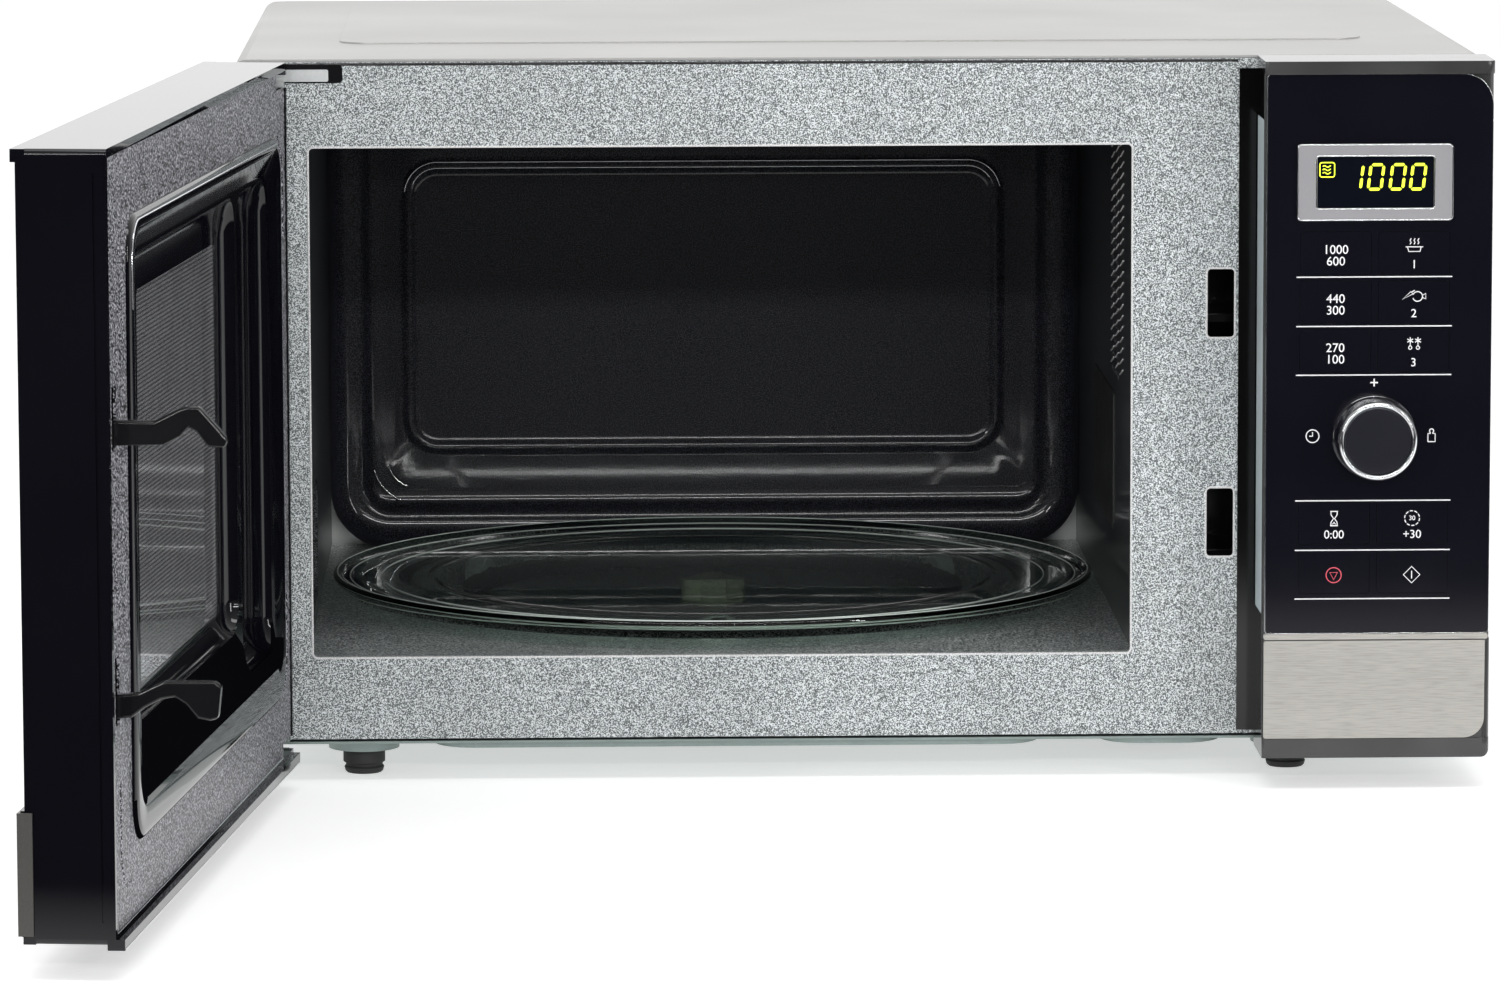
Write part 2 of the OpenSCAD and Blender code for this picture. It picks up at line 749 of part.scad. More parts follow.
module dial_knob() {
    face_r = dial_r - 2.1;
    color([0.05, 0.05, 0.055]) {
        rod_y(dial_x, dial_z, face_r, out_y(dial_front - 0.9), out_y(dial_back + 1));
        rod_y(dial_x, dial_z, dial_stem_r, out_y(dial_back + 2), out_y(board_front + 3));
    }
}

module dial_ring() {
    inner = dial_r - 2;
    skirt = dial_r + 0.9;
    long = dial_front - dial_back;
    // outline of the ring: radius, then distance from its back edge
    outline = [
        [inner, 0], [skirt, 0], [skirt, 1.4], [dial_r, 2.6], [dial_r, long - 1.4],
        [dial_r - 0.5, long - 0.4], [dial_r - 1.1, long], [inner, long - 0.5]
    ];
    color([0.82, 0.83, 0.85]) translate([dial_x, out_y(dial_back), dial_z]) rotate([90, 0, 0])
        rotate_extrude() polygon(outline);
}

// ---------------------------------------------------------------- latch side, in the bay

board_x = [127, 153];
board_z = [80, 214];
board_deep = 50;

module latch_board() {
    t = 2;
    front = plate_t + 0.02;
    color([0.12, 0.12, 0.13]) {
        // two side walls, a back wall and three shelves round the hooks' channels
        block([board_x[0], in_y(front), board_z[0]], [board_x[0] + t, in_y(board_deep), board_z[1]]);
        block([board_x[1] - t, in_y(front), board_z[0]], [board_x[1], in_y(board_deep), board_z[1]]);
        block([board_x[0], in_y(board_deep - t), board_z[0]], [board_x[1], in_y(board_deep), board_z[1]]);
        for (z = [board_z[0], 146, board_z[1] - t])
            block([board_x[0], in_y(front), z], [board_x[1], in_y(board_deep), z + t]);
        // ledges that the hooks drop behind
        for (z = [178, 84])
            block([board_x[0] + t, in_y(19), z], [board_x[1] - t, in_y(23), z + 3]);
    }
}

module interlock_switches() {
    color([0.2, 0.06, 0.05]) for (z = [84, 150, 190]) {
        block([board_x[1] + 0.1, in_y(14), z], [board_x[1] + 10.4, in_y(42), z + 16]);
        for (y = [18, 28, 38])
            block([board_x[1] + 10.4, in_y(y), z + 6], [board_x[1] + 17, in_y(y + 0.8), z + 11]);
    }
}

// ---------------------------------------------------------------- power parts in the bay

guide_x0 = cavity_x1 + sheet_t + 0.02;
guide_deep = 22;
antenna_y = 167;
antenna_z = 172;

module waveguide() {
    t = 1;
    color([0.74, 0.75, 0.75]) difference() {
        union() {
            block([guide_x0, in_y(116), 84], [guide_x0 + guide_deep, in_y(218), 196]);
            block([guide_x0, in_y(108), 78], [guide_x0 + t, in_y(226), 202]);
        }
        block([guide_x0 + t, in_y(116 + t), 84 + t],
            [guide_x0 + guide_deep - t, in_y(218 - t), 196 - t]);
        block([guide_x0 - 1, in_y(port_y[0]), port_z[0]],
            [guide_x0 + 2, in_y(port_y[1]), port_z[1]]);
        rod_x(in_y(antenna_y), antenna_z, 11, guide_x0 + 5, guide_x0 + guide_deep + 1);
    }
}

module waveguide_cover() {
    color([0.66, 0.62, 0.52]) left_to_right(cavity_x1 - 0.52, cavity_x1 - 0.02)
        soft_rect(in_y(114), 83, in_y(222), 139, 3);
}

module magnetron() {
    x0 = guide_x0 + guide_deep + 0.1;
    x1 = x0 + 78;
    y = in_y(antenna_y);
    z = antenna_z;
    color([0.68, 0.69, 0.71]) {
        // antenna, yoke, cooling fins round the anode, and the filter box
        rod_x(y, z, 8.5, x0 - 14, x0 + 2);
        block([x0, y - 48, z - 42], [x0 + 2, y + 48, z + 42]);
        block([x0 + 52, y - 48, z - 42], [x0 + 54, y + 48, z + 42]);
        for (side = [-1, 1])
            block([x0, y - 48, z + side * 41 - 1], [x0 + 54, y + 48, z + side * 41 + 1]);
        rod_x(y, z, 20, x0 + 1, x0 + 53);
        for (i = [0:7])
            block([x0 + 9 + i * 5, y - 44, z - 40.5], [x0 + 9.7 + i * 5, y + 44, z + 40.5]);
        block([x0 + 54, y - 30, z - 34], [x1, y + 30, z + 34]);
    }
}

module inverter_supply() {
    z0 = 20;
    color([0.2, 0.26, 0.2]) {
        block([122, in_y(186), z0], [234, in_y(318), z0 + 2]);
        // heat sink
        block([126, in_y(192), z0 + 2], [130, in_y(300), z0 + 46]);
        for (i = [0:6])
            block([130, in_y(196 + i * 16), z0 + 4], [146, in_y(198 + i * 16), z0 + 44]);
        // transformer and capacitors
        block([160, in_y(210), z0 + 2], [216, in_y(262), z0 + 44]);
        rod_z(188, in_y(236), 19, z0 + 44, z0 + 50);
        for (i = [0:2])
            rod_z(166 + i * 24, in_y(290), 9, z0 + 2, z0 + 36);
    }
}

module noise_filter() {
    x0 = guide_x0 + 0.1;
    color([0.13, 0.28, 0.2]) {
        block([x0 + 6, in_y(14), 222], [x0 + 8, in_y(84), 274]);
        for (y = [20, 78], z = [228, 268])
            rod_x(in_y(y), z, 2, x0, x0 + 6);
        difference() {
            rod_x(in_y(36), 248, 14, x0 + 8, x0 + 22);
            rod_x(in_y(36), 248, 6, x0 + 9, x0 + 23);
        }
        block([x0 + 8, in_y(56), 232], [x0 + 24, in_y(70), 264]);
        block([x0 + 8, in_y(73), 238], [x0 + 20, in_y(82), 258]);
    }
}

// The fan blows from the grille past the power parts
fan_shaft_r = 2;

module air_duct() {
    half = 58;
    deep = 29;
    color([0.8, 0.8, 0.78]) difference() {
        union() {
            front_to_back(fan_y, fan_y + deep)
                soft_rect(fan_x - half, fan_z - half, fan_x + half - 4, fan_z + half, 8);
            // nozzle towards the magnetron
            block([fan_x - 50, fan_y - 60, fan_z - 52], [fan_x - 48, fan_y + 1, fan_z + 40]);
        }
        rod_y(fan_x, fan_z, fan_r + 2, fan_y + 3, fan_y + deep + 1);
        for (turn = [0:3])
            translate([fan_x, 0, fan_z]) rotate([0, 45 + turn * 90, 0]) translate([-fan_x, 0, -fan_z])
                block([fan_x + 24, fan_y - 1, fan_z - 17], [fan_x + 46, fan_y + 4, fan_z + 17]);
        rod_y(fan_x, fan_z, 6, fan_y - 1, fan_y + 4);
    }
}

module fan_motor() {
    long = 24;
    color([0.55, 0.56, 0.58]) difference() {
        union() {
            front_to_back(fan_y - long, fan_y - 0.05)
                soft_rect(fan_x - 30, fan_z - 26, fan_x + 30, fan_z + 26, 4);
            rod_y(fan_x, fan_z, 16, fan_y - long - 6, fan_y - long);
        }
        rod_y(fan_x, fan_z, fan_shaft_r + running_gap, fan_y - long - 2, fan_y + 1);
    }
}

module fan_blade() {
    color([0.85, 0.86, 0.85]) {
        rod_y(fan_x, fan_z, fan_shaft_r, fan_y - 22, fan_y + 7);
        rod_y(fan_x, fan_z, 11, fan_y + 6, fan_y + 24);
        // five pitched blades
        for (n = [0:4])
            translate([fan_x, fan_y + 15, fan_z]) rotate([0, n * 72, 0]) translate([9, 0, 0])
                rotate([32, 0, 0]) translate([0, -0.8, -13]) cube([fan_r - 13, 1.6, 26]);
    }
}

module cavity_lamp() {
    x0 = guide_x0 + 0.1;
    z = 235;
    color([0.86, 0.84, 0.76]) {
        difference() {
            block([x0, in_y(94), z - 19], [x0 + 40, in_y(138), z + 19]);
            block([x0 - 1, in_y(95), z - 18], [x0 + 39, in_y(137), z + 18]);
            rod_x(in_y(116), z, 8, x0 + 38, x0 + 42);
        }
        rod_x(in_y(116), z, 7.9, x0 + 30, x0 + 52);
        rod_x(in_y(116), z, 10, x0 + 14, x0 + 30);
    }
}

// ---------------------------------------------------------------- turntable

coupler_stem_r = 3.5;
tray_under = well_floor + 2 * roller_r + 0.15;

module turntable_motor() {
    z1 = well_floor - sheet_t - 0.02;
    z0 = z1 - 17;
    color([0.7, 0.71, 0.72]) difference() {
        union() {
            rod_z(table_x, table_y, 24, z0, z1);
            upwards(z1 - 1.2, z1) {
                translate([table_x, table_y]) circle(25);
                translate([table_x - 32, table_y - 5]) square([64, 10]);
            }
            block([table_x - 10, table_y + 18, z0], [table_x + 10, table_y + 32, z0 + 9]);
        }
        rod_z(table_x, table_y, coupler_stem_r + running_gap, z0 + 4, z1 + 1);
    }
}

module turntable_coupler() {
    hub_z0 = well_floor + 1.2;
    hub_z1 = tray_under - 1;
    lobe_out = 10;
    color([0.82, 0.77, 0.66]) {
        rod_z(table_x, table_y, coupler_stem_r, well_floor - 12, hub_z0 + 1);
        rod_z(table_x, table_y, 9.5, hub_z0, hub_z1);
        for (n = [0:2]) {
            a = 90 + n * 120;
            rod_z(table_x + lobe_out * cos(a), table_y + lobe_out * sin(a), 4.5, hub_z0 + 2, hub_z1);
        }
    }
}

module glass_tray() {
    top = tray_under + 4.4;
    rim_top = top + 2.6;
    rim_r = 1.6;
    lug_out = 13.5;
    // outline of the tray: radius, then height, with the rim's round edge as an arc
    outline = concat(
        [[0, tray_under], [126, tray_under], [129, tray_under - 1.6], [148, tray_under - 1.6],
            [tray_r - 3.2, tray_under]],
        [for (a = [-40:20:140])
            [tray_r - rim_r + rim_r * cos(a), rim_top - rim_r + rim_r * sin(a)]],
        [[tray_r - 8, top + 0.4], [tray_r - 14, top], [0, top]]
    );
    color([0.55, 0.62, 0.6, 0.5]) {
        translate([table_x, table_y, 0]) rotate_extrude($fn = 180) polygon(outline);
        // three lugs between the coupler's lobes
        for (n = [0:2]) {
            a = 30 + n * 120;
            rod_z(table_x + lug_out * cos(a), table_y + lug_out * sin(a), 2.6,
                tray_under - 5, tray_under + 0.2);
        }
    }
}

ring_r = 100;
axle_r = 2;
roller_z = well_floor + roller_r + 0.05;

// Children turned to one of the ring's three rollers, with the roller's axis along X
module at_roller(n) {
    translate([table_x, table_y, roller_z]) rotate([0, 0, -90 + n * 120]) children();
}

module roller_ring() {
    color([0.16, 0.17, 0.17]) {
        difference() {
            rod_z(table_x, table_y, ring_r + 3.5, roller_z - 3.2, roller_z + 3.2);
            rod_z(table_x, table_y, ring_r - 3.5, roller_z - 4, roller_z + 4);
        }
        for (n = [0:2]) at_roller(n) {
            rotate([0, 90, 0]) translate([0, 0, ring_r]) cylinder(r = axle_r, h = 17.8);
            rotate([0, 90, 0]) translate([0, 0, ring_r + 16.4]) cylinder(r = 3.2, h = 1.4);
            rotate([0, 90, 0]) translate([0, 0, ring_r]) cylinder(r = 3.2, h = 7.4);
        }
    }
}

module ring_roller(n) {
    half_width = 4;
    color([0.78, 0.79, 0.78]) at_roller(n) difference() {
        translate([roller_path_r - half_width, 0, 0]) rotate([0, 90, 0])
            cylinder(r = roller_r, h = 2 * half_width);
        translate([ring_r, 0, 0]) rotate([0, 90, 0]) cylinder(r = axle_r + running_gap, h = 30);
    }
}

module ring_roller_1() {
    ring_roller(0);
}

module ring_roller_2() {
    ring_roller(1);
}

module ring_roller_3() {
    ring_roller(2);
}

// ---------------------------------------------------------------- door, drawn shut

glass_z0 = 59.4;

// The space that a hinge lug needs inside the door's corner
module hinge_pocket(z0, z1) {
    block([door_x(-1), door_y(hinge_depth + 9), z0], [door_x(hinge_inset + 15), door_y(-1), z1]);
}

module door_frame() {
    frame_z1 = cabinet_h;
    side = 3;
    front_wall = 28.3;
    glass_seat = 30;
    rail_u = 4;
    rail_z = [10.8, 14.6];
    color([0.03, 0.03, 0.035]) swung() difference() {
        union() {
            difference() {
                union() {
                    front_to_back(door_y(door_t), door_y(casing_back))
                        soft_rect(door_x(0), bottom_z, door_x(door_w), frame_z1, 2);
                    // proud lip along the top, pad behind the lower trim, chin
                    block([door_x(0), door_y(lip_w), cap_z + 0.5], [door_x(door_w), door_y(30), frame_z1]);
                    block([door_x(0.4), door_y(trim_w - 1.1), 15], [door_x(door_w - 0.4), door_y(30), 58.6]);
                    block([door_x(0), door_y(34.3), bottom_z], [door_x(door_w), door_y(30), 15]);
                }
                // hollow back
                front_to_back(door_y(front_wall), door_y(casing_back - 1))
                    soft_rect(door_x(side), bottom_z + side, door_x(door_w - side),
                        frame_z1 - side, 2);
                // seat of the glass, and the window in the front wall
                front_to_back(door_y(lip_w + 1), door_y(glass_seat))
                    soft_rect(door_x(2), glass_z0 - 0.2, door_x(door_w - 2), cap_z + 0.3, 2);
                front_to_back(door_y(lip_w + 1), door_y(front_wall - 1))
                    soft_rect(door_x(78), 80, door_x(312), 232, 8);
            }
            // frame round the window, between the front wall and the choke cover
            front_to_back(door_y(front_wall + 0.2), door_y(14)) difference() {
                soft_rect(door_x(66), 68, door_x(324), 244, 10);
                soft_rect(door_x(69), 71, door_x(321), 241, 8);
            }
            // rail along the bottom, below the front plate
            block([door_x(rail_u), door_y(casing_back + 3), rail_z[0]],
                [door_x(door_w), door_y(-0.8), rail_z[1]]);
            // blocks that the hinge pins turn in
            block([door_x(1), door_y(26), 255], [door_x(18), door_y(5), upper_lug_z - 0.8]);
            block([door_x(1), door_y(26), lower_lug_z + lug_t + 0.8], [door_x(18), door_y(5), 40]);
            // stop above the latch spring
            block([door_x(377), door_y(29), 240], [door_x(392), door_y(5), 246]);
        }
        hinge_pocket(upper_lug_z - 0.8, upper_lug_z + lug_t + 2.2);
        hinge_pocket(lower_lug_z - 2.2, lower_lug_z + lug_t + 0.8);
        rod_z(hinge_x, hinge_y, hinge_pin_r + running_gap, upper_lug_z - 10.5, upper_lug_z);
        rod_z(hinge_x, hinge_y, hinge_pin_r + running_gap, lower_lug_z, lower_lug_z + lug_t + 10.5);
        // eased corner that passes the front plate
        block([door_x(-1), door_y(4), bottom_z - 1], [door_x(1), door_y(0), frame_z1 + 1]);
        // parting groove down the free edge
        block([door_x(door_w - 0.5), door_y(7), bottom_z + 8], [door_x(door_w + 1), door_y(6.2), frame_z1 - 8]);
    }
}

module door_glass() {
    color([0.02, 0.02, 0.025, 0.9]) swung() front_to_back(door_y(door_t - 0.1), door_y(30.1))
        soft_rect(door_x(2.3), glass_z0, door_x(door_w - 2.3), cap_z, 2);
}

module door_lower_trim() {
    t = 0.9;
    color([0.72, 0.71, 0.69]) swung() {
        block([door_x(0.5), door_y(trim_w), 15.4], [door_x(door_w + t), door_y(trim_w - t), 58]);
        block([door_x(door_w + 0.05), door_y(trim_w), 15.4], [door_x(door_w + t), door_y(30.5), 58]);
    }
}

// Slits that the latch hooks come through
upper_slit_z = [180.5, 203];
lower_slit_z = [86.5, 110];

// The choke cover's body that reaches in through the inner plate: low u, low z, high u, high z
cover_body = [27.4, 50.4, 346.6, 252.6];

module door_inner_plate() {
    t = 0.9;
    u0 = 3.2;
    u1 = door_w - 3.2;
    z0 = 15.8;
    z1 = cabinet_h - 3.2;
    color([0.5, 0.51, 0.52]) swung() difference() {
        union() {
            front_to_back(door_y(inner_plate_w + t), door_y(inner_plate_w))
                soft_rect(door_x(u0), z0, door_x(u1), z1, 2);
            // folded edge
            front_to_back(door_y(inner_plate_w + 8), door_y(inner_plate_w)) difference() {
                soft_rect(door_x(u0), z0, door_x(u1), z1, 2);
                soft_rect(door_x(u0 + t), z0 + t, door_x(u1 - t), z1 - t, 1.2);
            }
        }
        front_to_back(door_y(inner_plate_w + 2), door_y(0))
            soft_rect(door_x(cover_body[0] - 0.4), cover_body[1] - 0.4, door_x(cover_body[2] + 0.4),
                cover_body[3] + 0.4, 12);
        for (z = [upper_slit_z, lower_slit_z])
            front_to_back(door_y(inner_plate_w + 2), door_y(0))
                soft_rect(door_x(hook_u - 4), z[0], door_x(hook_u + 4), z[1], 1);
        // room for the hinge lugs, and in the folded edges for the blocks of their pins
        for (z = [[upper_lug_z - 0.8, z1 + 1], [z0 - 1, lower_lug_z + lug_t + 0.8]])
            block([door_x(-1), door_y(14), z[0]], [door_x(hinge_inset + 15), door_y(0), z[1]]);
        for (z = [[254, z1 + 1], [z0 - 1, 41]])
            block([door_x(-1), door_y(14), z[0]],
                [door_x(hinge_inset + 15), door_y(inner_plate_w + t + 0.1), z[1]]);
    }
}

module door_screen() {
    color([0.3, 0.3, 0.3]) swung() front_to_back(door_y(screen_w + 0.6), door_y(screen_w))
        soft_rect(door_x(112), 77, door_x(302), 236, 4);
}

// A soft rectangle from low u, low z, high u, high z, drawn larger by grow
module door_rect(sides, r, grow = 0) {
    soft_rect(door_x(sides[0] - grow), sides[1] - grow, door_x(sides[2] + grow), sides[3] + grow, r);
}

module door_choke_cover() {
    rim_out = 1;
    ledge = 5;
    floor_w = 11;
    depth = 12;
    wall = 1.6;
    rim = [22, 40, 358, 258];
    // hinge-side pocket, and pocket of the window
    pockets = [[42, 60, 106, 238], [118, 82, 332, 238]];
    view = [122, 86, 292, 226];
    color([0.02, 0.02, 0.022]) swung() difference() {
        union() {
            front_to_back(door_y(inner_plate_w - 0.1), door_y(rim_out)) door_rect(rim, 16);
            front_to_back(door_y(depth), door_y(rim_out)) door_rect(cover_body, 12);
        }
        front_to_back(door_y(ledge), door_y(0)) door_rect(cover_body, 10.4, -wall);
        for (pocket = pockets)
            front_to_back(door_y(floor_w), door_y(0)) door_rect(pocket, 8);
        // hollow behind the ledge
        front_to_back(door_y(depth + 1), door_y(ledge + wall)) difference() {
            door_rect(cover_body, 10.4, -wall);
            for (pocket = pockets) door_rect(pocket, 9, wall);
        }
        front_to_back(door_y(depth + 1), door_y(0)) door_rect(view, 4);
    }
}

// The hooks' side outlines: distance behind the door's nominal back, then height
upper_hook = [
    [-8, 191.4], [11, 191.2], [19.8, 195.6], [23, 196.5], [26.5, 196.4], [32.3, 190], [36.4, 185.2],
    [35.2, 182.3], [29.5, 182.6], [25.5, 187.8], [22.7, 189.2], [20, 186.2], [14.2, 183.2],
    [-8, 182.6]
];
lower_hook = [
    [-8, 96.6], [4.5, 98], [13.2, 102.1], [31.3, 102.3], [33.1, 100.8], [31.9, 89.4], [28.9, 88.6],
    [24.7, 89.4], [20.7, 94.2], [16.9, 96.6], [12.1, 95.8], [6.3, 92.7], [2, 89.4], [-8, 88.6]
];

module latch_key() {
    color([0.05, 0.05, 0.055]) swung() {
        for (hook = [upper_hook, lower_hook])
            left_to_right(door_x(hook_u - hook_t / 2), door_x(hook_u + hook_t / 2))
                polygon([for (p = hook) [door_y(-p[0]), p[1]]]);
        // slide bar behind the inner plate
        block([door_x(hook_u - 5), door_y(9), 74], [door_x(hook_u + 5), door_y(6), 214]);
    }
}

// Helix points: turns of radius r round the bar's axis, from z0 to z1
spring_turns = 6;
spring_r = 3.2;
spring_wire = 0.45;
spring_z = [214.5, 239.6];
function helix(a) = [spring_r * cos(a), spring_r * sin(a),
    spring_z[0] + spring_wire + (spring_z[1] - spring_z[0] - 2 * spring_wire)
        * a / (360 * spring_turns)];

module latch_spring() {
    sides = 6;
    step = 20;
    rings = 360 * spring_turns / step;
    points = [for (i = [0:rings], s = [0:sides - 1])
        let (a = i * step, b = s * 360 / sides, reach = spring_wire * cos(b))
            helix(a) + [reach * cos(a), reach * sin(a), spring_wire * sin(b)]];
    faces = concat(
        [[for (s = [0:sides - 1]) s]],
        [for (i = [0:rings - 1], s = [0:sides - 1])
            [i * sides + s, (i + 1) * sides + s, (i + 1) * sides + (s + 1) % sides,
                i * sides + (s + 1) % sides]],
        [[for (s = [0:sides - 1]) rings * sides + sides - 1 - s]]
    );
    color([0.7, 0.7, 0.72]) swung()
        translate([door_x(hook_u), door_y(10), 0]) polyhedron(points = points, faces = faces);
}

outer_cover();
front_plate();
cavity_left_wall();
cavity_right_wall();
cavity_ceiling();
cavity_floor();
cavity_rear_wall();
base_pan();
rear_panel();
feet();
cord_gland();
upper_hinge_bracket();
lower_hinge_bracket();
cover_screws();
panel_housing();
panel_overlay();
panel_lower_trim();
display_bezel();
display_window();
display_module();
control_board();
dial_encoder();
key_power_high();
key_power_medium();
key_power_low();
key_menu_soup();
key_menu_drink();
key_menu_meal();
key_timer();
key_quick();
key_stop();
key_start();
dial_knob();
dial_ring();
latch_board();
interlock_switches();
magnetron();
waveguide();
waveguide_cover();
inverter_supply();
noise_filter();
fan_motor();
fan_blade();
air_duct();
cavity_lamp();
turntable_motor();
turntable_coupler();
glass_tray();
roller_ring();
ring_roller_1();
ring_roller_2();
ring_roller_3();
door_frame();
door_glass();
door_lower_trim();
door_inner_plate();
door_screen();
door_choke_cover();
latch_key();
latch_spring();
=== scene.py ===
import json
import math

import bpy
import bmesh
from mathutils import Matrix, Vector
from mathutils.geometry import tessellate_polygon


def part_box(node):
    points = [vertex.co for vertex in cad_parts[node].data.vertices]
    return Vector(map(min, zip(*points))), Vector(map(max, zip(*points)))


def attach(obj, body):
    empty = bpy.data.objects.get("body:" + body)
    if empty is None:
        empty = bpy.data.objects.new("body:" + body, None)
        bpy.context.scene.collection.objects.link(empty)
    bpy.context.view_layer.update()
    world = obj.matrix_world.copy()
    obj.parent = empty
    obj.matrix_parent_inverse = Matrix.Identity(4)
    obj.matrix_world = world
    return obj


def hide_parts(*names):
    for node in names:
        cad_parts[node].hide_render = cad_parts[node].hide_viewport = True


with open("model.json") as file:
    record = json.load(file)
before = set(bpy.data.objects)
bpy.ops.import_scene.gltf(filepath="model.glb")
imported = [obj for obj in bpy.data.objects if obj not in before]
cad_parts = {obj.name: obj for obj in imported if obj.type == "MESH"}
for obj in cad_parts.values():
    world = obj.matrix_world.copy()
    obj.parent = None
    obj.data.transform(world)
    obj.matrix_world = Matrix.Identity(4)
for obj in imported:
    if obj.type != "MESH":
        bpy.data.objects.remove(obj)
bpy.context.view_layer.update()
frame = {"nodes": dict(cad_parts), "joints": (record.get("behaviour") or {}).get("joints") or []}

MM = 0.001
NODES = frame["nodes"]

# The door's pieces are drawn shut, then turned about the hinge to where the door stands at rest
SWING = next(j for j in frame["joints"] if j["name"] == "door_swing")
HINGE = Vector(SWING["pos_m"])
OPENED = (Matrix.Translation(HINGE)
          @ Matrix.Rotation(-math.radians(SWING["range_deg"][1]), 4, "Z")
          @ Matrix.Translation(-HINGE))


def shut_box(node):
    """Lowest and highest corners of one of the door's nodes, with the door shut."""
    back = OPENED.inverted()
    points = [back @ v.co for v in NODES[node].data.vertices]
    return (Vector([min(p[i] for p in points) for i in range(3)]),
            Vector([max(p[i] for p in points) for i in range(3)]))


# ---------------------------------------------------------------- materials


def new_material(name, **sockets):
    mat = bpy.data.materials.new(name)
    mat.use_nodes = True
    shader = mat.node_tree.nodes["Principled BSDF"]
    for key, value in sockets.items():
        shader.inputs[key.replace("_", " ")].default_value = value
    return mat, mat.node_tree, shader


def add(tree, kind, values=None, **props):
    """Add a node; values may be plain ones or the sockets that feed it."""
    node = tree.nodes.new("ShaderNode" + kind)
    for key, value in props.items():
        setattr(node, key, value)
    for key, value in (values or {}).items():
        if isinstance(value, bpy.types.NodeSocket):
            tree.links.new(value, node.inputs[key])
        else:
            node.inputs[key].default_value = value
    return node


def noise(tree, size, stretch=(1, 1, 1), detail=2.0, shift=(0, 0, 0)):
    """Noise in the piece's own space, with features of about that size in metres."""
    place = add(tree, "TexCoord").outputs["Object"]
    place = add(tree, "Mapping", {"Vector": place, "Scale": stretch, "Location": shift}).outputs[0]
    return add(tree, "TexNoise", {"Vector": place, "Scale": 1 / size, "Detail": detail}).outputs["Fac"]


def ramp(tree, factor, *stops):
    """Colours along a factor: each stop is a place and a grey or a colour."""
    node = add(tree, "ValToRGB", {"Fac": factor})
    marks = node.color_ramp.elements
    while len(marks) < len(stops):
        marks.new(1)
    for mark, (place, tone) in zip(marks, stops):
        mark.position = place
        tone = (tone, tone, tone) if isinstance(tone, (int, float)) else tone
        mark.color = (*tone, 1)
    return node.outputs["Color"]


def span(tree, factor, low, high, start=0.0, end=1.0):
    values = {"Value": factor, "From Min": start, "From Max": end, "To Min": low, "To Max": high}
    return add(tree, "MapRange", values).outputs["Result"]


def mix(tree, factor, first, second, blend_type="MIX"):
    node = add(tree, "Mix", data_type="RGBA", blend_type=blend_type)
    for index, value in ((0, factor), (6, first), (7, second)):
        if isinstance(value, bpy.types.NodeSocket):
            tree.links.new(value, node.inputs[index])
        else:
            node.inputs[index].default_value = value
    return node.outputs[2]


def relief(tree, shader, height, strength, depth):
    bump = add(tree, "Bump", {"Height": height, "Strength": strength, "Distance": depth})
    tree.links.new(bump.outputs["Normal"], shader.inputs["Normal"])


def feed(tree, shader, **sockets):
    for key, socket in sockets.items():
        tree.links.new(socket, shader.inputs[key.replace("_", " ")])


def let_lamps_through(mat, tint):
    """Glass that doesn't block the lamps: shadow rays pass it as through a tinted film."""
    tree = mat.node_tree
    shader = tree.nodes["Principled BSDF"]
    path = add(tree, "LightPath").outputs["Is Shadow Ray"]
    film = add(tree, "BsdfTransparent", {"Color": (*tint, 1)})
    both = add(tree, "MixShader", {0: path, 1: shader.outputs[0], 2: film.outputs[0]})
    tree.links.new(both.outputs[0], tree.nodes["Material Output"].inputs["Surface"])
    return mat


def enamel(name, dark, mid, light, roughness, gloss=0.45, coat=0.0, grain=0.45 * MM):
    """Speckled hammertone enamel on steel."""
    mat, tree, shader = new_material(name, Specular_IOR_Level=gloss, Coat_Weight=coat, Coat_Roughness=0.06)
    fine = noise(tree, grain, detail=1.0)
    broad = noise(tree, 60 * MM, detail=1.0, shift=(3, 1, 2))
    tone = ramp(tree, fine, (0.4, dark), (0.5, mid), (0.6, light))
    shade = ramp(tree, broad, (0.3, 0.9), (0.7, 1.0))
    feed(tree, shader, Base_Color=mix(tree, 1.0, tone, shade, "MULTIPLY"),
         Roughness=span(tree, fine, roughness, roughness + 0.15, 0.35, 0.65))
    relief(tree, shader, fine, 0.35, 0.12 * MM)
    return mat


def painted(name, tone, roughness, metal):
    """Smooth sprayed paint: faint flakes, slow change of gloss, slight orange peel."""
    mat, tree, shader = new_material(name, Metallic=metal, Specular_IOR_Level=0.3)
    flakes = noise(tree, 0.5 * MM, detail=1.0)
    broad = noise(tree, 90 * MM, detail=2.0)
    low = tuple(c * 0.93 for c in tone)
    speck = ramp(tree, flakes, (0.35, low), (0.65, tone))
    feed(tree, shader, Base_Color=mix(tree, 0.5, speck, ramp(tree, broad, (0.3, low), (0.7, tone))),
         Roughness=span(tree, broad, roughness - 0.04, roughness + 0.05, 0.3, 0.7))
    relief(tree, shader, noise(tree, 3 * MM, detail=1.0), 0.08, 0.05 * MM)
    return mat


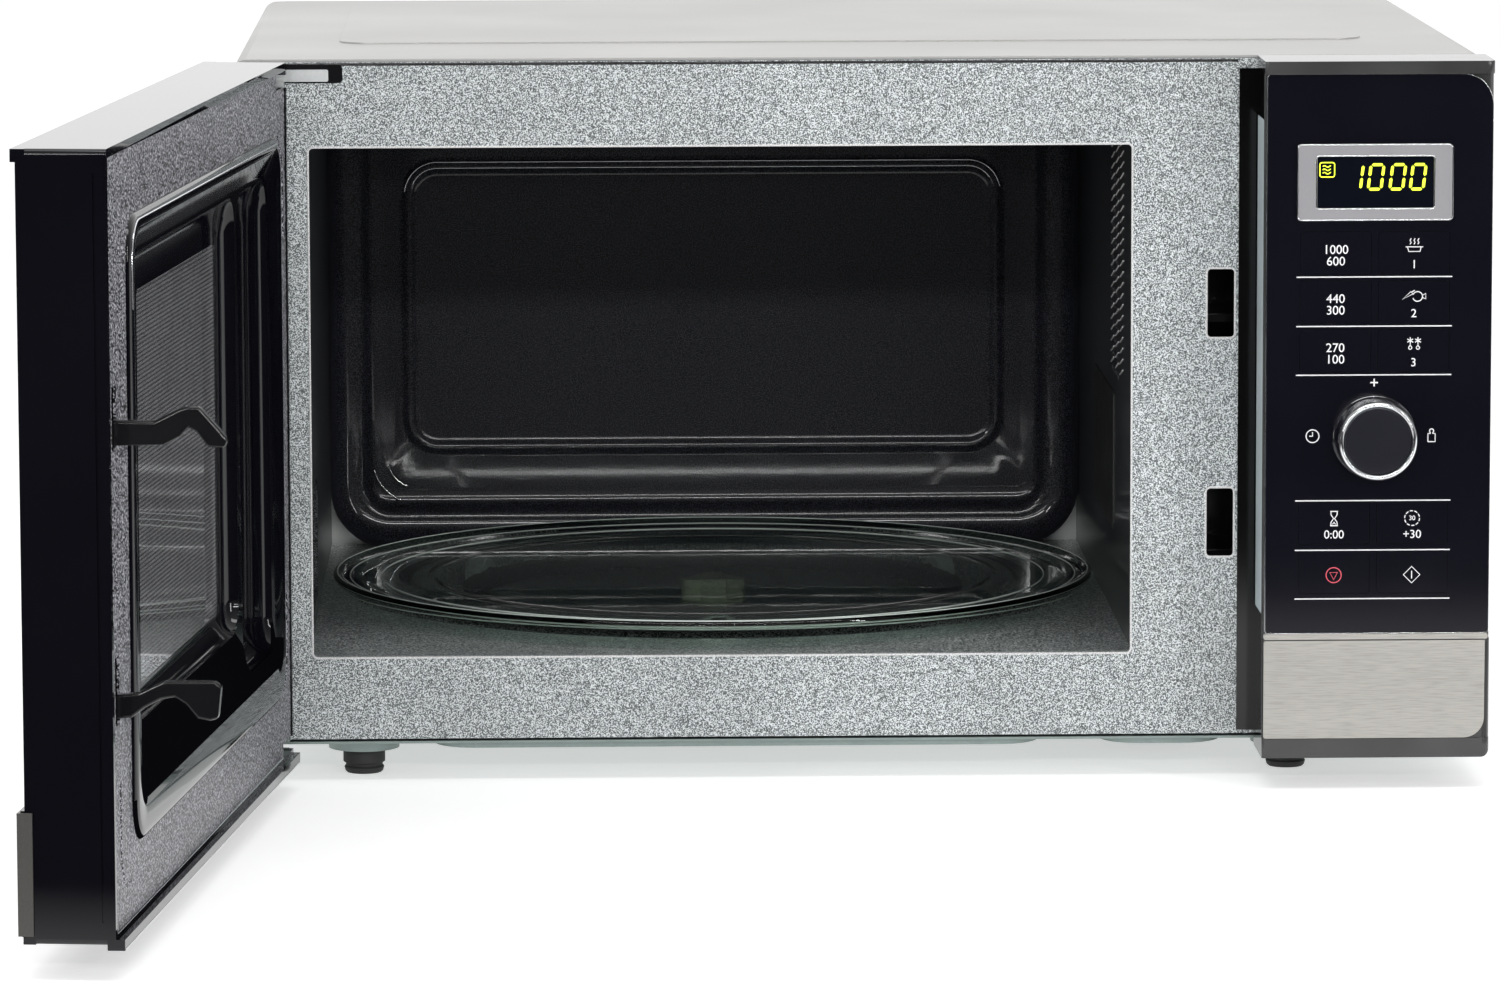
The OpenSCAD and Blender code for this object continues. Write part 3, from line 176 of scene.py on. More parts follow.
def brushed(name, tone, roughness, metal, along=0, shaded_end_y=None):
    """Brushed or rolled metal with its grain along one axis; below the Y given last, the piece's end is
    coloured dark as painted shade.
    """
    mat, tree, shader = new_material(name, Metallic=metal)
    stretch = [1.0, 1.0, 1.0]
    stretch[along] = 0.04
    lines = noise(tree, 0.35 * MM, stretch, detail=3.0)
    wide = noise(tree, 14 * MM, [s * 0.6 if s < 1 else s for s in stretch], detail=2.0)
    low = tuple(c * 0.78 for c in tone)
    high = tuple(min(1, c * 1.1) for c in tone)
    grain = ramp(tree, lines, (0.33, low), (0.5, tone), (0.68, high))
    colour = mix(tree, 0.25, grain, ramp(tree, wide, (0.3, low), (0.7, high)))
    # painted shade: the end of the piece, below the given Y, is coloured dark
    if shaded_end_y is not None:
        y = add(tree, "SeparateXYZ", {"Vector": add(tree, "TexCoord").outputs["Object"]}).outputs["Y"]
        end_shade = span(tree, y, 1.0, 0.0, shaded_end_y, shaded_end_y + 0.3 * MM)
        colour = mix(tree, end_shade, colour, ramp(tree, lines, (0.3, tuple(c * 0.12 for c in tone)),
                                              (0.7, tuple(c * 0.2 for c in tone))))
    feed(tree, shader, Base_Color=colour,
         Roughness=span(tree, lines, roughness - 0.07, roughness + 0.1, 0.3, 0.7))
    relief(tree, shader, lines, 0.15, 0.03 * MM)
    return mat


def galvanised(name, tone):
    """Zinc-coated sheet with its soft spangle."""
    mat, tree, shader = new_material(name, Metallic=0.65)
    place = add(tree, "TexCoord").outputs["Object"]
    cells = add(tree, "TexVoronoi", {"Vector": place, "Scale": 1 / (7 * MM)}).outputs["Color"]
    spangle = add(tree, "SeparateColor", {"Color": cells}).outputs[0]
    fine = noise(tree, 0.8 * MM, detail=2.0)
    low = tuple(c * 0.86 for c in tone)
    feed(tree, shader,
         Base_Color=mix(tree, 0.35, ramp(tree, spangle, (0, low), (1, tone)),
                        ramp(tree, fine, (0.35, low), (0.65, tone))),
         Roughness=span(tree, spangle, 0.34, 0.5))
    relief(tree, shader, fine, 0.1, 0.05 * MM)
    return mat


def moulded(name, tone, roughness, texture=0.25, grain=0.5 * MM, **sockets):
    """Moulded plastic or rubber: fine surface texture and slightly uneven gloss."""
    mat, tree, shader = new_material(name, **sockets)
    fine = noise(tree, grain, detail=2.0)
    broad = noise(tree, 35 * MM, detail=2.0, shift=(1, 4, 2))
    low = tuple(c * 0.82 for c in tone)
    feed(tree, shader,
         Base_Color=mix(tree, 0.5, ramp(tree, fine, (0.3, low), (0.7, tone)),
                        ramp(tree, broad, (0.3, low), (0.7, tone))),
         Roughness=span(tree, broad, roughness * 0.85, roughness * 1.2, 0.3, 0.7))
    relief(tree, shader, fine, texture, 0.06 * MM)
    return mat


def shaded_shell(name, back, front, depth):
    """Gloss black moulding whose front rim is sprayed a dark grey."""
    mat, tree, shader = new_material(name)
    place = add(tree, "TexCoord").outputs["Object"]
    y = add(tree, "SeparateXYZ", {"Vector": place}).outputs["Y"]
    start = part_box("panel_housing")[0].y
    fade = span(tree, y, 1.0, 0.0, start + 0.8 * depth, start + depth)
    uneven = noise(tree, 40 * MM)
    rim = ramp(tree, uneven, (0.3, front * 0.6), (0.7, front))
    feed(tree, shader, Base_Color=mix(tree, fade, ramp(tree, uneven, (0.3, back * 0.7), (0.7, back)), rim),
         Roughness=span(tree, uneven, 0.08, 0.14))
    relief(tree, shader, noise(tree, 6 * MM), 0.02, 0.06 * MM)
    return mat


def clear_glass(name, tone, tint, ior=1.5):
    """Clear pressed glass with faint ripples."""
    mat, tree, shader = new_material(name, Transmission_Weight=1.0, IOR=ior)
    streaks = noise(tree, 30 * MM, detail=2.0)
    low = tuple(c * 0.95 for c in tone)
    feed(tree, shader, Base_Color=ramp(tree, streaks, (0.3, low), (0.7, tone)),
         Roughness=span(tree, streaks, 0.0, 0.03, 0.4, 0.7))
    relief(tree, shader, noise(tree, 9 * MM, detail=1.0), 0.06, 0.2 * MM)
    return let_lamps_through(mat, tint)


def perforated(name, tone, edge, pitch, hole):
    """Black sheet with staggered rows of holes, each ringed by a near-white painted highlight, in the door's
    own plane.
    """
    mat, tree, shader = new_material(name, Roughness=0.35, Specular_IOR_Level=0.3)
    turn = math.radians(SWING["range_deg"][1])
    place = add(tree, "TexCoord").outputs["Object"]
    place = add(tree, "Mapping", {"Vector": place, "Rotation": (0, 0, turn)}).outputs[0]
    parts = add(tree, "SeparateXYZ", {"Vector": place}).outputs
    row = add(tree, "Math", {0: parts["Z"], 1: 2 / (pitch * math.sqrt(3))}, operation="MULTIPLY").outputs[0]
    row_number = add(tree, "Math", {0: row}, operation="FLOOR").outputs[0]
    odd = add(tree, "Math", {0: row_number, 1: 2.0}, operation="FLOORED_MODULO").outputs[0]
    column = add(tree, "Math", {0: parts["X"], 1: 1 / pitch}, operation="MULTIPLY").outputs[0]
    column = add(tree, "Math", {0: odd, 1: 0.5, 2: column}, operation="MULTIPLY_ADD").outputs[0]
    across = add(tree, "Math", {0: column}, operation="FRACT").outputs[0]
    up = add(tree, "Math", {0: row}, operation="FRACT").outputs[0]
    spot = add(tree, "CombineXYZ", {"X": across, "Y": up}).outputs[0]
    reach = add(tree, "VectorMath", {0: spot, 1: (0.5, 0.5, 0)}, operation="DISTANCE").outputs["Value"]
    radius = hole / pitch / 2
    metal = add(tree, "Math", {0: reach, 1: radius * 0.38}, operation="GREATER_THAN").outputs[0]
    sheet = add(tree, "Math", {0: reach, 1: radius}, operation="GREATER_THAN").outputs[0]
    wear_and_glint = noise(tree, 12 * MM)
    low = tuple(c * 0.7 for c in tone)
    # painted highlight: a near-white ring round each hole stands in for the light seen at the holes
    hole_glint = ramp(tree, wear_and_glint, (0.3, edge * 0.8), (0.7, edge))
    colour = mix(tree, sheet, hole_glint, ramp(tree, wear_and_glint, (0.3, low), (0.7, tone)))
    feed(tree, shader, Base_Color=colour, Alpha=metal)
    return mat


def glowing(name, tone, strength):
    """Lit display segment, slightly uneven."""
    mat, tree, shader = new_material(name, Emission_Strength=strength, Roughness=0.5)
    uneven = noise(tree, 1.2 * MM)
    low = tuple(c * 0.85 for c in tone)
    colour = ramp(tree, uneven, (0.3, low), (0.7, tone))
    feed(tree, shader, Base_Color=colour, Emission_Color=colour)
    return mat


PLATE = enamel("plate_enamel", (0.08, 0.088, 0.09), (0.29, 0.318, 0.323), (0.74, 0.78, 0.79), 0.36, 0.4)
REAR = enamel("rear_enamel", 0.004, (0.009, 0.01, 0.015), (0.05, 0.052, 0.066), 0.3, 0.14, 0.6)
CAVITY = enamel("cavity_enamel", 0.008, (0.024, 0.028, 0.03), (0.13, 0.135, 0.14), 0.3, 0.16, 0.5)
FLOOR = enamel("floor_enamel", 0.03, (0.2, 0.24, 0.235), (0.66, 0.7, 0.69), 0.3, 0.4, 0.2, 0.7 * MM)
DOOR_PLATE = enamel("door_enamel", 0.006, (0.035, 0.035, 0.043), (0.5, 0.5, 0.54), 0.32, 0.2, 0.0, 0.9 * MM)
PAINT = painted("cover_paint", (0.46, 0.455, 0.445), 0.34, 0.2)
STAINLESS = (0.4, 0.388, 0.36)
STEEL = brushed("trim_stainless", STAINLESS, 0.4, 0.35)
# the door trim's last 0.9 mm, at its end face, is coloured dark as painted shade
TRIM_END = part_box("door_lower_trim")[0].y + 0.9 * MM
DOOR_STEEL = brushed("door_trim_steel", STAINLESS, 0.4, 0.35, along=1, shaded_end_y=TRIM_END)
ZINC = galvanised("galvanised", (0.6, 0.62, 0.62))
BASE = galvanised("base_zinc", (0.26, 0.315, 0.3))
BLACK = moulded("gloss_black", (0.003, 0.003, 0.005), 0.06, 0.02, 6 * MM)
MATT = moulded("slope_black", (0.003, 0.003, 0.004), 0.3, 0.1, Specular_IOR_Level=0.0)
SHELL = shaded_shell("panel_shell", 0.003, 0.06, 5 * MM)
FACE = moulded("panel_film", (0.005, 0.005, 0.009), 0.1, 0.03, 3 * MM, Specular_IOR_Level=0.3)
SATIN = moulded("satin_black", (0.006, 0.006, 0.007), 0.16, 0.06)
EDGE = moulded("dark_edge", (0.014, 0.014, 0.02), 0.2, 0.1, Specular_IOR_Level=0.3)
RUBBER = moulded("rubber", (0.02, 0.02, 0.02), 0.7, 0.5, 0.9 * MM)
GREY = moulded("bezel_grey", (0.29, 0.285, 0.3), 0.42, 0.3, 0.4 * MM)
WHITE = moulded("white_plastic", (0.72, 0.73, 0.72), 0.4)
BEIGE = moulded("beige_plastic", (0.72, 0.68, 0.52), 0.45, 0.4, 1.2 * MM)
CERAMIC = moulded("lamp_ceramic", (0.8, 0.78, 0.7), 0.3)
MICA = moulded("mica_sheet", (0.03, 0.03, 0.03), 0.45, 0.5, 1.5 * MM)
BOARD = moulded("board_green", (0.05, 0.16, 0.08), 0.4)
CHROME = brushed("chrome", (0.8, 0.81, 0.83), 0.1, 1.0, along=1)
ALLOY = brushed("aluminium", (0.66, 0.67, 0.69), 0.4, 1.0)
INK = moulded("white_ink", (0.85, 0.85, 0.86), 0.5, 0.2)
RED_INK = moulded("red_ink", (0.75, 0.10, 0.14), 0.5, 0.2)
# tint of the tray glass: partly its own green, partly painted shade, deepened so what is seen through the
# tray is dark
TRAY = clear_glass("tray_glass", (0.52, 0.61, 0.56), (0.55, 0.62, 0.58))
FILM = clear_glass("inner_film", (0.9, 0.9, 0.92), (0.8, 0.8, 0.8), 1.45)
DARK_GLASS = clear_glass("door_glass", (0.30, 0.31, 0.33), (0.3, 0.3, 0.32))
WINDOW = moulded("display_filter", (0.004, 0.005, 0.009), 0.08, 0.03, 4 * MM, Specular_IOR_Level=0.1)
# 0.95 is the painted highlight round the screen's holes
MESH = perforated("door_mesh", (0.003, 0.003, 0.004), 0.95, 1.8 * MM, 1.3 * MM)
LIT = glowing("display_segment", (0.75, 0.9, 0.03), 1.6)
# light enamel for the thin tubes along edges: painted highlights
BEAD = enamel("painted_edge_highlight", 0.5, 0.66, 0.85, 0.3)
# bright chrome for the thin tubes on crests and edges: painted highlights
CREST = brushed("painted_crest_highlight", (0.8, 0.81, 0.84), 0.14, 1.0)
# pale plastic for the lines on the tray's rim: painted highlights
RIM = moulded("painted_rim_highlight", (0.75, 0.82, 0.77), 0.15)
STICKER = moulded("plain_sticker", (0.55, 0.63, 0.66), 0.5, 0.3, 2 * MM)

FINISH = {
    "outer_cover": PAINT, "front_plate": PLATE, "cavity_left_wall": CAVITY,
    "cavity_right_wall": CAVITY, "cavity_ceiling": CAVITY, "cavity_floor": FLOOR,
    "cavity_rear_wall": REAR, "base_pan": BASE, "rear_panel": ZINC, "feet": RUBBER,
    "cord_gland": SATIN, "upper_hinge_bracket": ZINC, "lower_hinge_bracket": BASE,
    "cover_screws": ZINC, "panel_housing": SHELL, "panel_overlay": FACE,
    "panel_lower_trim": STEEL, "display_bezel": GREY, "display_window": WINDOW,
    "display_module": GREY, "control_board": BOARD, "dial_encoder": ZINC, "dial_knob": EDGE,
    "dial_ring": CHROME, "latch_board": SATIN, "interlock_switches": SATIN, "magnetron": ALLOY,
    "waveguide": ZINC, "waveguide_cover": MICA, "inverter_supply": BOARD, "noise_filter": BOARD,
    "fan_motor": ZINC, "fan_blade": WHITE, "air_duct": WHITE, "cavity_lamp": CERAMIC,
    "turntable_motor": ZINC, "turntable_coupler": BEIGE, "glass_tray": TRAY,
    "roller_ring": RUBBER, "ring_roller_1": WHITE, "ring_roller_2": WHITE, "ring_roller_3": WHITE,
    "door_frame": BLACK, "door_glass": DARK_GLASS, "door_lower_trim": DOOR_STEEL,
    "door_inner_plate": DOOR_PLATE, "door_screen": MESH, "door_choke_cover": BLACK,
    "latch_key": SATIN, "latch_spring": ZINC,
}
KEYS = [n for n in NODES if n.startswith("key_")]
EASE = {
    "outer_cover": 0.4, "front_plate": 0.25, "base_pan": 0.4, "rear_panel": 0.3,
    "upper_hinge_bracket": 0.35, "lower_hinge_bracket": 0.35, "panel_housing": 0.6,
    "panel_overlay": 0.12, "panel_lower_trim": 0.2, "display_bezel": 0.25, "door_frame": 0.6,
    "door_lower_trim": 0.2, "door_glass": 0.15, "door_inner_plate": 0.3, "latch_key": 1.1,
    "cord_gland": 0.5, "door_choke_cover": 0.2, "feet": 0.6, "turntable_coupler": 0.5, "cover_screws": 0.2,
    "waveguide_cover": 0.1, "roller_ring": 0.4, "ring_roller_1": 0.6, "ring_roller_2": 0.6,
    "ring_roller_3": 0.6,
}


def finish_cad_nodes():
    """Each CAD node gets its material, and the visible ones eased edges."""
    for name, obj in NODES.items():
        mat = FACE if name in KEYS else FINISH[name]
        obj.data.materials.clear()
        obj.data.materials.append(mat)
        width = 0.1 if name in KEYS else EASE.get(name)
        if not width:
            continue
        weld = obj.modifiers.new("weld", "WELD")
        weld.merge_threshold = 0.002 * MM
        bevel = obj.modifiers.new("bevel", "BEVEL")
        bevel.width = width * MM
        bevel.segments = 3
        bevel.limit_method = "ANGLE"
        bevel.angle_limit = math.radians(40)
        bevel.use_clamp_overlap = True
        bevel.harden_normals = True


# ---------------------------------------------------------------- building pieces


def mesh_piece(name, verts, faces, mat, smooth=35):
    """A mesh object; edges sharper than `smooth` degrees stay crisp."""
    mesh = bpy.data.meshes.new(name)
    mesh.from_pydata(verts, [], faces)
    shaped = bmesh.new()
    shaped.from_mesh(mesh)
    bmesh.ops.remove_doubles(shaped, verts=shaped.verts, dist=0.001 * MM)
    bmesh.ops.recalc_face_normals(shaped, faces=shaped.faces)
    shaped.to_mesh(mesh)
    shaped.free()
    mesh.materials.append(mat)
    obj = bpy.data.objects.new(name, mesh)
    bpy.context.scene.collection.objects.link(obj)
    mesh.shade_smooth()
    if smooth < 180:
        mesh.set_sharp_from_angle(angle=math.radians(smooth))
    return obj


def fix(obj, body, slot, *replaced, door=False):
    """Put a piece on its body; a door's piece is turned open first."""
    if door:
        obj.data.transform(OPENED)
    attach(obj, body)
    if replaced:
        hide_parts(*replaced)
    return obj


def outline(x0, z0, x1, z1, r, steps=6):
    """A rectangle with round corners, as points of X and Z."""
    points = []
    for cx, cz, start in ((x1 - r, z0 + r, -90), (x1 - r, z1 - r, 0),
                          (x0 + r, z1 - r, 90), (x0 + r, z0 + r, 180)):
        for i in range(steps + 1):
            a = math.radians(start + 90 * i / steps)
            points.append((cx + r * math.cos(a), cz + r * math.sin(a)))
    return points


def skin(rings, first=False, last=False, looped=False):
    """Vertices and faces through rings of equal length; each ring is a list of 3-D points."""
    count = len(rings[0])
    verts = [p for ring in rings for p in ring]
    pairs = [(i, i + 1) for i in range(len(rings) - 1)]
    if looped:
        pairs.append((len(rings) - 1, 0))
    faces = [(a * count + k, a * count + (k + 1) % count, b * count + (k + 1) % count, b * count + k)
             for a, b in pairs for k in range(count)]
    if first:
        faces.append(tuple(range(count)))
    if last:
        faces.append(tuple((len(rings) - 1) * count + k for k in range(count)))
    return verts, faces


def pressed(box, r, profile, steps=6):
    """Rings of a pressed rectangle: the profile gives an inset and a Y for each ring."""
    x0, z0, x1, z1 = box
    return [[(x, y, z) for x, z in outline(x0 + d, z0 + d, x1 - d, z1 - d, max(r - d, 1.2 * MM), steps)]
            for d, y in profile]


def lathe(profile, centre, axis="Z", steps=96):
    """Rings of a turned shape: the profile gives a radius and a height along the axis."""
    rings = []
    for radius, height in profile:
        ring = []
        for k in range(steps):
            a = 2 * math.pi * k / steps
            if axis == "Z":
                ring.append((centre[0] + radius * math.cos(a), centre[1] + radius * math.sin(a), height))
            else:
                ring.append((centre[0] + radius * math.cos(a), height, centre[2] + radius * math.sin(a)))
        rings.append(ring)
    return rings


def tube(name, lines, radius, mat, flat=None, closed=False):
    """Round strokes along 3-D lines, as one mesh; flat squashes them towards the plane Y = flat."""
    curve = bpy.data.curves.new(name, "CURVE")
    curve.dimensions = "3D"
    curve.bevel_depth = radius
    curve.bevel_resolution = 2
    curve.use_fill_caps = True
    for line in lines:
        ends_meet = closed or (len(line) > 2 and (Vector(line[0]) - Vector(line[-1])).length < 1e-7)
        points = line[:-1] if ends_meet and not closed else line
        spline = curve.splines.new("POLY")
        spline.points.add(len(points) - 1)
        for point, place in zip(spline.points, points):
            point.co = (*place, 1)
        spline.use_cyclic_u = ends_meet
    return as_mesh(name, curve, mat, flat)


def as_mesh(name, curve, mat, flat=None, place=Matrix()):
    holder = bpy.data.objects.new(name + "_line", curve)
    bpy.context.scene.collection.objects.link(holder)
    bpy.context.view_layer.update()
    mesh = bpy.data.meshes.new_from_object(holder.evaluated_get(bpy.context.evaluated_depsgraph_get()))
    bpy.data.objects.remove(holder)
    mesh.name = name
    mesh.transform(place)
    if flat is not None:
        for v in mesh.vertices:
            v.co.y = flat + (v.co.y - flat) * 0.35
    mesh.materials.clear()
    mesh.materials.append(mat)
    mesh.shade_smooth()
    mesh.set_sharp_from_angle(angle=math.radians(50))
    obj = bpy.data.objects.new(name, mesh)
    bpy.context.scene.collection.objects.link(obj)
    return obj


def join(name, *objs):
    """One piece out of several that share a material."""
    shaped = bmesh.new()
    for obj in objs:
        shaped.from_mesh(obj.data)
    mesh = bpy.data.meshes.new(name)
    shaped.to_mesh(mesh)
    shaped.free()
    mesh.materials.append(objs[0].data.materials[0])
    for obj in objs:
        bpy.data.objects.remove(obj)
    made = bpy.data.objects.new(name, mesh)
    bpy.context.scene.collection.objects.link(made)
    return made


# ---------------------------------------------------------------- cabinet and cavity


def cavity_details():
    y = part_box("cavity_rear_wall")[0].y
    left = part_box("cavity_left_wall")[1].x
    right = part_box("cavity_right_wall")[0].x
    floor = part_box("cavity_floor")[1].z
    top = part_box("cavity_ceiling")[0].z
    # rear wall: fillets into the side walls, a raised border, and two pressed fields
    profile = [(0, y - 16 * MM), (0.6 * MM, y - 9 * MM), (3 * MM, y - 4 * MM), (8 * MM, y - 1.2 * MM),
               (11 * MM, y - 1.05 * MM), (14 * MM, y - 0.95 * MM), (16 * MM, y + 2 * MM),
               (19 * MM, y + 3.2 * MM), (24 * MM, y + 3.2 * MM)]
    wall = (left + 0.2 * MM, floor + 0.2 * MM, right - 0.2 * MM, top - 0.2 * MM)
    rings = pressed(wall, 26 * MM, profile, 10)
    field = (-184 * MM, 88.5 * MM, 74.5 * MM, 214.5 * MM)
    step = [(-2.6 * MM, y + 3.2 * MM), (-1.6 * MM, y + 3.1 * MM), (-0.6 * MM, y + 2.7 * MM),
            (0.4 * MM, y + 2.2 * MM), (1.6 * MM, y + 1.9 * MM), (2.8 * MM, y + 2.2 * MM),
            (3.8 * MM, y + 2.7 * MM), (4.8 * MM, y + 3.1 * MM), (6 * MM, y + 3.2 * MM)]
    field_r = 14 * MM
    rings += pressed(field, field_r, step, 10)
    verts, faces = skin(rings, last=True)
    rear = mesh_piece("rear_wall_pressing", verts, faces, REAR, smooth=180)
    fix(rear, "cabinet", "cavity_paint", "cavity_rear_wall")

    # painted highlights: bright chrome lines on the crests of the pressing along its top, round its upper
    # corners and at its lower left
    crests = []
    for grow, far in ((-2.4, 30), (0.2, 12)):
        r = field_r + grow * MM
        high = field[3] - field_r
        corners = ((field[0] + field_r, range(186 - far, 89, -8)),
                   (field[2] - field_r, range(90, far - 3, -8)))
        turns = [(cx, math.radians(a)) for cx, angles in corners for a in angles]
        crests.append([(cx + r * math.cos(a), y + 1.95 * MM, high + r * math.sin(a)) for cx, a in turns])
    centre = 37 * MM
    for r in (12.35 * MM, 19 * MM):
        crests.append([(wall[0] + centre - r * math.cos(math.radians(a)), y - 0.9 * MM,
                        wall[1] + centre - r * math.sin(math.radians(a))) for a in range(14, 77, 7)])
    fix(tube("rear_wall_crests", crests, 0.4 * MM, CREST), "cabinet", "cavity_paint")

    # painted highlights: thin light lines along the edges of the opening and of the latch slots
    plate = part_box("front_plate")[0].y
    x0, z0 = left + 1.8 * MM, floor + 1.2 * MM
    x1, z1 = right - 1.6 * MM, top - 1.2 * MM
    beads = [[(x, plate + 0.05 * MM, z) for x, z in outline(x0, z0, x1, z1, 2 * MM, 8)]]
    slot_x = (135.6 * MM, 146.8 * MM)
    slot_h = 27.5 * MM
    slot_corner = 1.8 * MM
    for z in (173.7 * MM, 87.2 * MM):
        shape = outline(slot_x[0], z, slot_x[1], z + slot_h, slot_corner, 4)
        beads.append([(px, plate + 0.05 * MM, pz) for px, pz in shape])
    fix(tube("opening_edges", beads, 0.45 * MM, BEAD, closed=True), "cabinet", "cavity_paint")

    # painted shadow: a flattened black strip in the gap under the cover's front edge; the hinge lug seen
    # through its notch, with the shade in the notch painted as a thin black sheet
    plate_lo, plate_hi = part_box("front_plate")
    gap_z = plate_hi.z - 0.9 * MM
    gap = [[(plate_lo.x + 1.2 * MM, plate - 0.05 * MM, gap_z), (147.5 * MM, plate - 0.05 * MM, gap_z)]]
    fix(tube("cover_gap_shadow", gap, 0.55 * MM, SATIN, flat=plate), "cabinet", "black_plastic")
    side = plate_lo.x
    notch = outline(side + 15 * MM, gap_z - 7.2 * MM, side + 42 * MM, gap_z - 0.1 * MM, 1.6 * MM, 4)
    lug = outline(side + 15.4 * MM, gap_z - 6.6 * MM, side + 36.5 * MM, gap_z - 1.9 * MM, 0.7 * MM, 4)
    for name, shape, depth, mat, slot in (("hinge_notch_shade", notch, 0.3, SATIN, "black_plastic"),
                                          ("hinge_lug_end", lug, 0.7, ZINC, "galvanised_steel")):
        rings = [[(x, plate - d * MM, z) for x, z in shape] for d in (-0.05, depth)]
        verts, faces = skin(rings, first=True, last=True)
        fix(mesh_piece(name, verts, faces, mat), "cabinet", slot)

    # painted highlights: light dashes along the slanted air slots in the right wall
    dashes = []
    low_z, row_pitch = 150 * MM, 4.4 * MM
    rear_y, column_pitch = -42 * MM, 24 * MM
    run, rise = 15 * MM, 3.4 * MM
    x = right - 0.1 * MM
    for row in range(22):
        z = low_z + row * row_pitch
        for column in range(3):
            start = rear_y - column * column_pitch
            dashes.append([(x, start, z), (x, start - run, z + rise)])
    fix(tube("vent_slot_edges", dashes, 0.32 * MM, BEAD), "cabinet", "cavity_paint")


def tray():
    lo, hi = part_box("glass_tray")
    cx, cy = (lo.x + hi.x) / 2, (lo.y + hi.y) / 2
    edge = (hi.x - lo.x) / 2
    rim_top = hi.z
    under = rim_top - 7 * MM
    top = under + 4.4 * MM
    profile = [(1 * MM, under), (60 * MM, under), (124 * MM, under), (125 * MM, under),
               (127.5 * MM, under - 0.7 * MM), (130 * MM, under - 1.4 * MM), (131 * MM, under - 1.4 * MM),
               (145 * MM, under - 1.4 * MM), (146 * MM, under - 1.4 * MM), (149 * MM, under - 0.9 * MM),
               (edge - 4 * MM, under + 0.2 * MM)]
    rim = 1.6 * MM
    bend = [math.radians(a) for a in range(-50, 141, 19)]
    profile += [(edge - rim + rim * math.cos(a), rim_top - rim + rim * math.sin(a)) for a in bend]
    profile += [(edge - 5 * MM, top + 1.1 * MM), (edge - 8 * MM, top + 0.5 * MM),
                (edge - 10 * MM, top + 0.55 * MM), (edge - 12 * MM, top + 0.1 * MM),
                (edge - 15 * MM, top), (edge - 16 * MM, top), (119 * MM, top), (118 * MM, top),
                (116.5 * MM, top - 0.25 * MM), (115 * MM, top), (114 * MM, top), (60 * MM, top),
                (1 * MM, top)]
    verts, faces = skin(lathe(profile, (cx, cy), steps=160), first=True, last=True)
    plate = mesh_piece("turntable_glass", verts, faces, TRAY, smooth=40)
    fix(plate, "tray", "tray_glass", "glass_tray")
    # painted highlights: pale lines on the rim, round its crest, inside it, and on the beaded ring
    turn = [math.radians(a) for a in range(0, 360, 3)]
    rims = [[(cx + r * math.cos(a), cy + r * math.sin(a), z) for a in turn]
            for r, z in ((edge - 1.7 * MM, rim_top - 0.05 * MM), (edge - 7 * MM, top + 0.65 * MM),
                         (edge - 20 * MM, top + 0.1 * MM))]
    fix(tube("tray_rim_lines", rims, 0.3 * MM, RIM, closed=True), "tray", "tray_glass")


def feet():
    lo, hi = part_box("feet")
    radius, height = 8.3 * MM, 10 * MM
    profile = [(5.6 * MM, 0), (6.8 * MM, 0), (7.5 * MM, 0.7 * MM), (7.9 * MM, 2.2 * MM),
               (7.3 * MM, 2.9 * MM), (7.3 * MM, 3.7 * MM), (radius, 4.4 * MM), (radius, 8.9 * MM),
               (7.8 * MM, height - 0.05 * MM), (3 * MM, height - 0.02 * MM)]
    verts, faces = [], []
    for x in (lo.x + radius, hi.x - radius):
        for y in (lo.y + radius, hi.y - radius):
            more, quads = skin(lathe(profile, (x, y), steps=48), first=True, last=True)
            faces += [tuple(k + len(verts) for k in q) for q in quads]
            verts += more
    fix(mesh_piece("rubber_feet", verts, faces, RUBBER), "cabinet", "rubber", "feet")


# ---------------------------------------------------------------- door

# Edge of the door at the hinge and its nominal back: u runs along the door, w to its front
DOOR_LEFT = shut_box("door_frame")[0].x
DOOR_BACK = shut_box("door_inner_plate")[1].y + 3 * MM


def on_door(u, w, z):
    return (DOOR_LEFT + u * MM, DOOR_BACK - w * MM, z * MM)


def ring_between(outer, inner, t, depth):
    """A rounded outline part of the way from one box to another: each is low u, low z, high u, high z, r."""
    u0, z0, u1, z1, r = [a + (b - a) * t for a, b in zip(outer, inner)]
    return [on_door(x, depth(z) if callable(depth) else depth, z) for x, z in outline(u0, z0, u1, z1, r, 10)]


